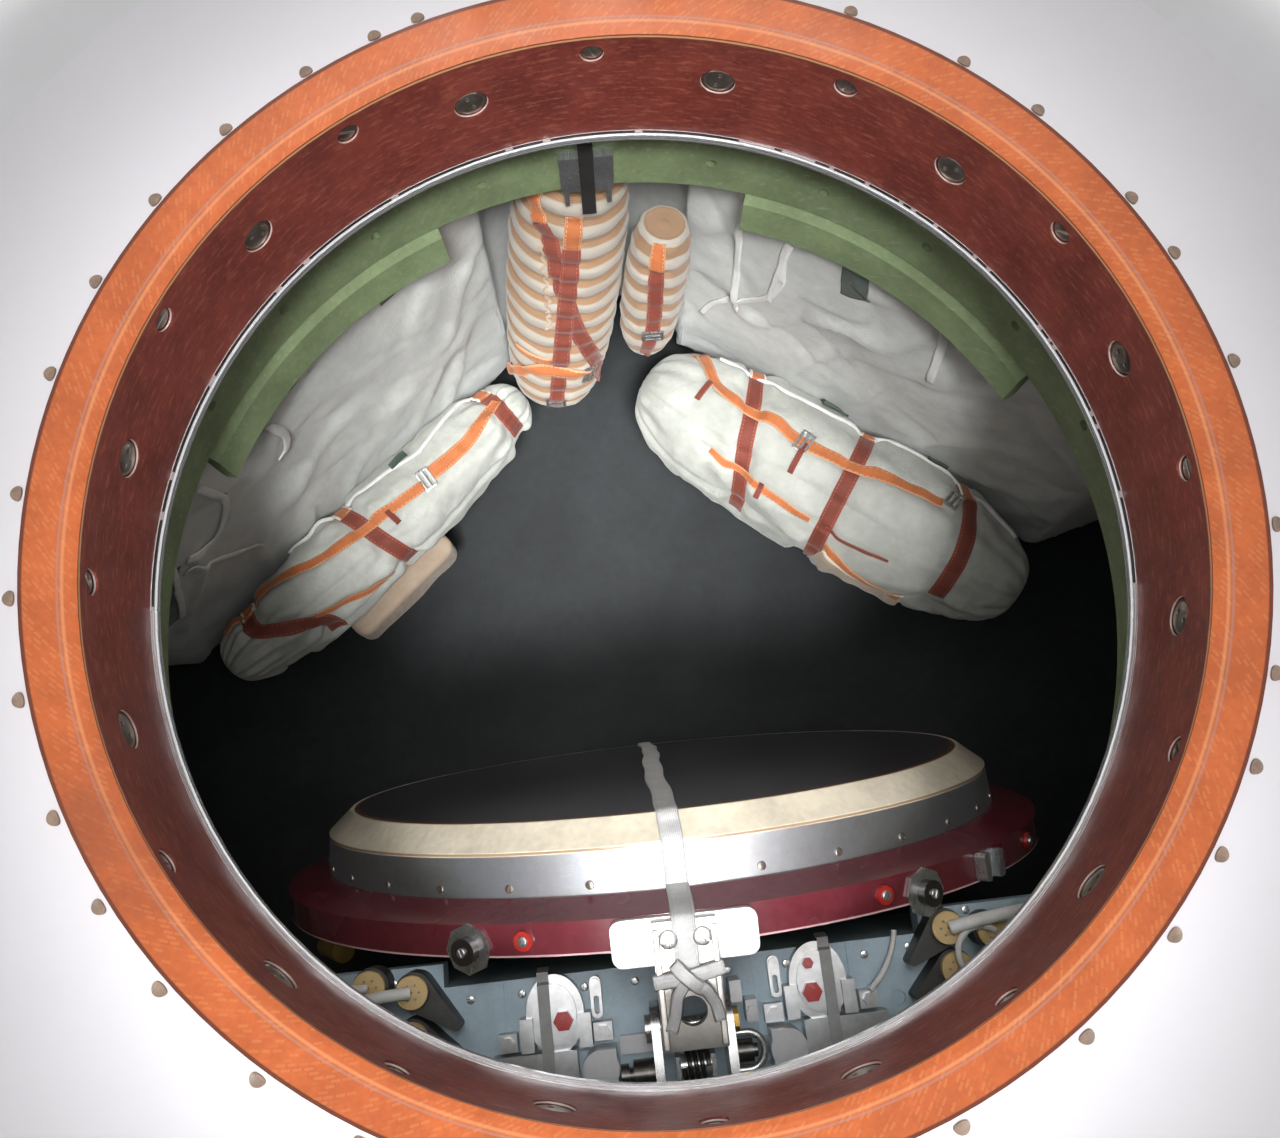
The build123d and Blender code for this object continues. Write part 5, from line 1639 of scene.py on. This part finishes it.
@dataclass
class LidTie:
    """White webbing over the lid's face, tied round the hinge arm."""

    finishes: Finishes
    width: float = 16.0
    x: float = -2.0
    disc_r: float = 280.0
    dome: float = 10.0
    edge: Path = ((-350.3, -104), (-350.3, -90), (-350.3, -72), (-350.3, -60), (-342, -55.8), (-322, -51.5),
                              (-308, -47.1), (-305.8, -45.3), (-304.3, -30), (-303.8, -16.6), (-293,
                                                                                               -7), (-283.8,
                                                                                                     0.8))

    def profile(self) -> list[Pair]:
        """Points of the strap over the lid, as (across the lid, height)."""
        ball = (self.disc_r ** 2 + self.dome ** 2) / (2 * self.dome)
        far = [(280, 0.6), (283.8, 0.8), (293, -7), (303.8, -16.6), (304.3, -30), (305.8, -45.3),
               (308, -47.1), (332, -53.6)]
        over = []
        for k in range(-11, 12):
            y = self.disc_r * k / 12
            over.append((y, sqrt(ball ** 2 - y ** 2) - ball + self.dome + 0.3))
        return [*self.edge, *over, *far]

    def build(self) -> None:
        """Make the strap, its wrap round the arm and its knot."""
        out, down = lid_axes()
        # the strap's section: share of the half width, height and U
        section = ((-1, 0.4, 0.0), (-0.8, 1.3, 0.1), (0, 1.5, 0.5), (0.8, 1.3, 0.9),
                   (1, 0.4, 1.0), (1, 0.1, 1.0), (0, 0.1, 0.5), (-1, 0.1, 0.0))
        line = through(self.profile(), 210)
        rows = []
        for i, (y, h) in enumerate(line):
            p, q = line[max(i - 1, 0)], line[min(i + 1, len(line) - 1)]
            run = hypot(q[0] - p[0], q[1] - p[1]) or 1.0
            ny, nh = -(q[1] - p[1]) / run, (q[0] - p[0]) / run
            sway = 1.6 * sin(y / 70) + 0.8 * sin(y / 19)
            row = []
            for k, rise, _ in section:
                x = self.x + sway + k * self.width / 2
                face = Vector((x, 0, 0)) + down * (y + ny * rise) + out * (h + nh * rise)
                row.append(LID_MIDDLE + face * MM)
            rows.append(row)
        strap = Bench.skin("lid_tie", rows, around=True, ends=True)
        for loop, place in zip(strap.data.loops, strap.data.uv_layers["UVMap"].data):
            j, i = divmod(loop.vertex_index, len(section))
            if j < len(rows):
                place.uv = (section[i][2], j * 3.7 * MM)
        Bench.fit(strap, self.finishes["web_white"], "strap_white", Body.LID)
        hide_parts("lid_strap")
        self._wrap(out, down)

    def _wrap(self, out: Vector, down: Vector) -> None:
        """Turn round the arm's plate, with a flat knot and two tails."""
        spans = (
            ("lid_tie_wrap", ((-23, 351.5, -97), (-12, 353, -96), (0, 353.6, -95), (12, 353, -93),
                              (23, 351.5, -91)), 10),
            ("lid_tie_knot", ((-9, 353, -86), (-5, 356.5, -91), (0, 358, -96), (5, 356.5, -101),
                              (9, 353, -104)), 9),
            ("lid_tie_tail", ((4, 354, -98), (10, 355, -104), (15, 353.2, -113), (17, 352.4, -124)), 8),
            ("lid_tie_end", ((-3, 354, -98), (-9, 354.6, -106), (-11, 353, -117), (-15, 352.4, -128)), 8),
        )
        section = ((-1, 0), (-0.7, 1.3), (0.7, 1.3), (1, 0))
        for name, places, wide in spans:
            rows, fine, spots = [], [], [Vector(p) for p in places]
            for i in range(len(spots) - 1):
                fine += [spots[i].lerp(spots[i + 1], k / 5) for k in range(5)]
            fine.append(spots[-1])
            for i, p in enumerate(fine):
                way = (fine[min(i + 1, len(fine) - 1)] - fine[max(i - 1, 0)]).normalized()
                flat = way.cross(Vector((0, 1, 0))).normalized()
                ring = [p + flat * wide / 2 * k + Vector((0, lift, 0)) for k, lift in section]
                rows.append([LID_MIDDLE + (Vector((q.x, 0, 0)) - down * q.y + out * q.z) * MM for q in ring])
            turn = Bench.skin(name, rows, around=True, ends=True)
            Bench.fit(turn, self.finishes["web_white"], "strap_white", Body.LID)


@dataclass
class ArmRails:
    """Raised side rails of the hinge arm."""

    finishes: Finishes

    def build(self) -> None:
        """Make both rails from one bevelled bar."""
        out, down = lid_axes()
        rail = Bench.block("rail", (4.2, 2.4, 70.0))
        Bench.faces(rail, lambda c, n: n.z > UPWARD)
        bpy.ops.mesh.extrude_region_move(TRANSFORM_OT_translate={"value": (0, -1.2 * MM, 5 * MM)})
        bpy.ops.object.mode_set(mode="OBJECT")
        Bench.bevel(rail, 0.8, 3, 40)
        basis = Matrix((Vector((1, 0, 0)), down, -out)).transposed().to_4x4()
        places = [Matrix.Translation(LID_MIDDLE + (Vector((x, 0,
                                                           0)) - down * 351.0 + out * -99.0) * MM) @ basis
                  for x in (-18.7, 18.7)]
        Bench.fit(Bench.stamp(rail, places, "arm_rails"), self.finishes["arm_metal"], "arm_metal", Body.LID)


@dataclass
class ConsoleTrim:
    """Panel screws, connector rims and pins on the console."""

    finishes: Finishes
    screws: Path = ((-152, -272), (-116, -272), (-72, -272), (-36, -272), (30, -272), (72, -272), (102, -272),
                                (128, -272), (160, -270), (-205, -256), (-222, -276), (205, -250), (226,
                                                                                                    -268))
    rims: tuple[Path, ...] = (((-217, -254), (-188, -260), (-190, -290)),
                              ((184, -258), (186, -285), (215, -263)))

    def build(self) -> None:
        """Make the screws, the rims and the pins."""
        head = ScrewHeads(self.finishes).slotted(3.0, 0.9, 0.7, 16, 0.3)
        places = [Matrix.Translation(spot(x, y, CONSOLE_Z)) @ Matrix.Rotation(i * 0.9, 4, "Z")
                  for i, (x, y) in enumerate(self.screws)]
        Bench.fit(Bench.stamp(head, places, "console_screws"), self.finishes["steel_bright"],
                  "fitting_silver")
        rim = Bench.cylinder("rim", 11.2, 23.8, 26.6, 36)
        Bench.tops(rim, 1.6, -1.6)
        Bench.bevel(rim, 0.4, 2, 30)
        pin = self._pin()
        spots = [p for side in self.rims for p in side]
        Bench.fit(Bench.stamp(rim, [Matrix.Translation(spot(x, y, CONSOLE_Z)) for x, y in spots],
                              "connector_rims"),
                  self.finishes["connector_tan"], "connector_tan")
        places = []
        for x, y in spots:
            for k in range(7):
                a, r = radians(60 * k), 0.0 if k == 6 else 5.2
                places.append(Matrix.Translation(spot(x + r * cos(a), y + r * sin(a), CONSOLE_Z + 25)))
        Bench.fit(Bench.stamp(pin, places, "connector_pins"), self.finishes["screw_steel"], "connector_tan")

    @staticmethod
    def _pin() -> Piece:
        """Short contact pin with a rounded tip."""
        pin = Bench.cylinder("pin", 0.9, 0, 2.4, 10)
        Bench.tops(pin, 0.3, 0.3)
        return Bench.bevel(pin, 0.15, 1, 30)


def stow(finishes: Finishes) -> None:
    """Make both stowage bags, the pouch and both laced bags."""
    StowageBag(
        finishes, "right", 52, 88, 510, -65, seed=1.0, raised=(18.0, 4.0),
        cross=(((76, 160), (42, 82), (18, 26)), ((-78, 161), (-85, 82), (-90, 25)),
               ((-196, 160), (-218, 132), (-235, 79))),
        bands=(("web_orange", 15, ((148, 150), (112, 113), (74, 100), (22, 100), (-26, 95), (-126, 105),
                                   (-188, 112))),
               ("web_orange", 9, ((70, 52), (46, 49), (-11, 47), (-70, 45))),
               ("web_red", 4, ((-90, 43), (-132, 44), (-170, 47)))),
        piping=((120, 150), (42, 139), (-34, 136), (-102, 150), (-180, 152), (-280, 140)),
        tabs=(("web_red", 7, ((110, 108), (112, 84))), ("web_red", 7, ((-22, 96), (-24, 70))),
              ("web_red", 7, ((-2, 52), (-4, 40))),
              ("patch_green", 24, ((-12, 152), (-46, 153))), ("patch_green", 16, ((-150, 156), (-176, 156))),
              ("web_tan", 60, ((-96, 8), (-160, -2), (-205, -6))), ("web_orange", 9,
                                                                    ((-100, 30), (-160, 18), (-205, 10)))),
        buckles=((-198, 118, 80), (-20, 96, 86)),
    ).build()
    StowageBag(
        finishes, "left", 131, 58, 470, 75, seed=3.0, raised=(3.0, 18.0),
        cross=(((98, 158), (88, 76), (74, -8)), ((-118, 158), (-122, 108), (-120, 56)),
               ((248, 160), (254, 94), (196, 36))),
        bands=(("web_orange", 13, ((285, 150), (243, 150), (196, 124), (134, 98), (80, 90), (8, 79))),
               ("web_orange", 19, ((-4, 83), (-40, 80), (-74, 82), (-126, 102))),
               ("web_orange", 9, ((200, 55), (150, 36), (104, 16)))),
        piping=((170, 160), (128, 158), (88, 152), (30, 132), (-21, 116), (-106, 150)),
        tabs=(("web_red", 7, ((60, 88), (60, 68))), ("patch_green", 14, ((20, 130), (-4, 128)))),
        buckles=((2, 82, 80),),
    ).build()
    Pouch(finishes, "pouch_soft", "pouch_left").build()
    LacedRoll(
        finishes, "laced_bag", "bag_striped", (-14, 424, -166), (-62, 352, -486), 60, 46, 13, "cord_big",
        straps=(("web_orange", 19, 1.2, ((328, -140), (305, -137), (283, -128))),
                ("web_red", 19, 1.0, ((283, -128), (258, -113), (191, -93), (133, -73), (25, -20))),
                ("web_orange", 19, 1.2, ((300, -93), (283, -93), (262, -93))),
                ("web_red", 19, 2.6, ((262, -93), (191, -93), (92, -93), (6, -93))),
                ("web_orange", 14, 3.6, ((26, -172), (58, -140), (83, -108), (66, -48))),
                ("web_orange", 12, 3.6, ((100, -143), (100, -122), (100, -103)))),
        buckles=((12, -93, 0), (70, -60, 70)),
        lace=((262, -124), (200, -113), (150, -108)),
    ).build()
    LacedRoll(
        finishes, "laced_bag_small", "bag_small", (61, 371, -215), (41, 341, -390), 33, 22, 7, "cord_small",
        straps=(("web_orange", 17, 1.0, ((176, -108), (160, -106), (146, -104))),
                ("web_red", 17, 0.8, ((146, -104), (58, -92), (3, -98)))),
        buckles=((52, -92, 0),),
    ).build()


def main() -> None:
    """Build the scene in order."""
    logging.basicConfig(level=logging.INFO, format="%(name)s: %(message)s")
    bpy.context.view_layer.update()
    finishes = Finishes(Effects())
    Studio().build()
    dress_nodes(finishes)
    CabinLining(finishes).build()
    stow(finishes)
    ScrewHeads(finishes).build()
    LidTie(finishes).build()
    ArmRails(finishes).build()
    ConsoleTrim(finishes).build()
    Bench.clear()


if __name__ == "__main__":
    main()
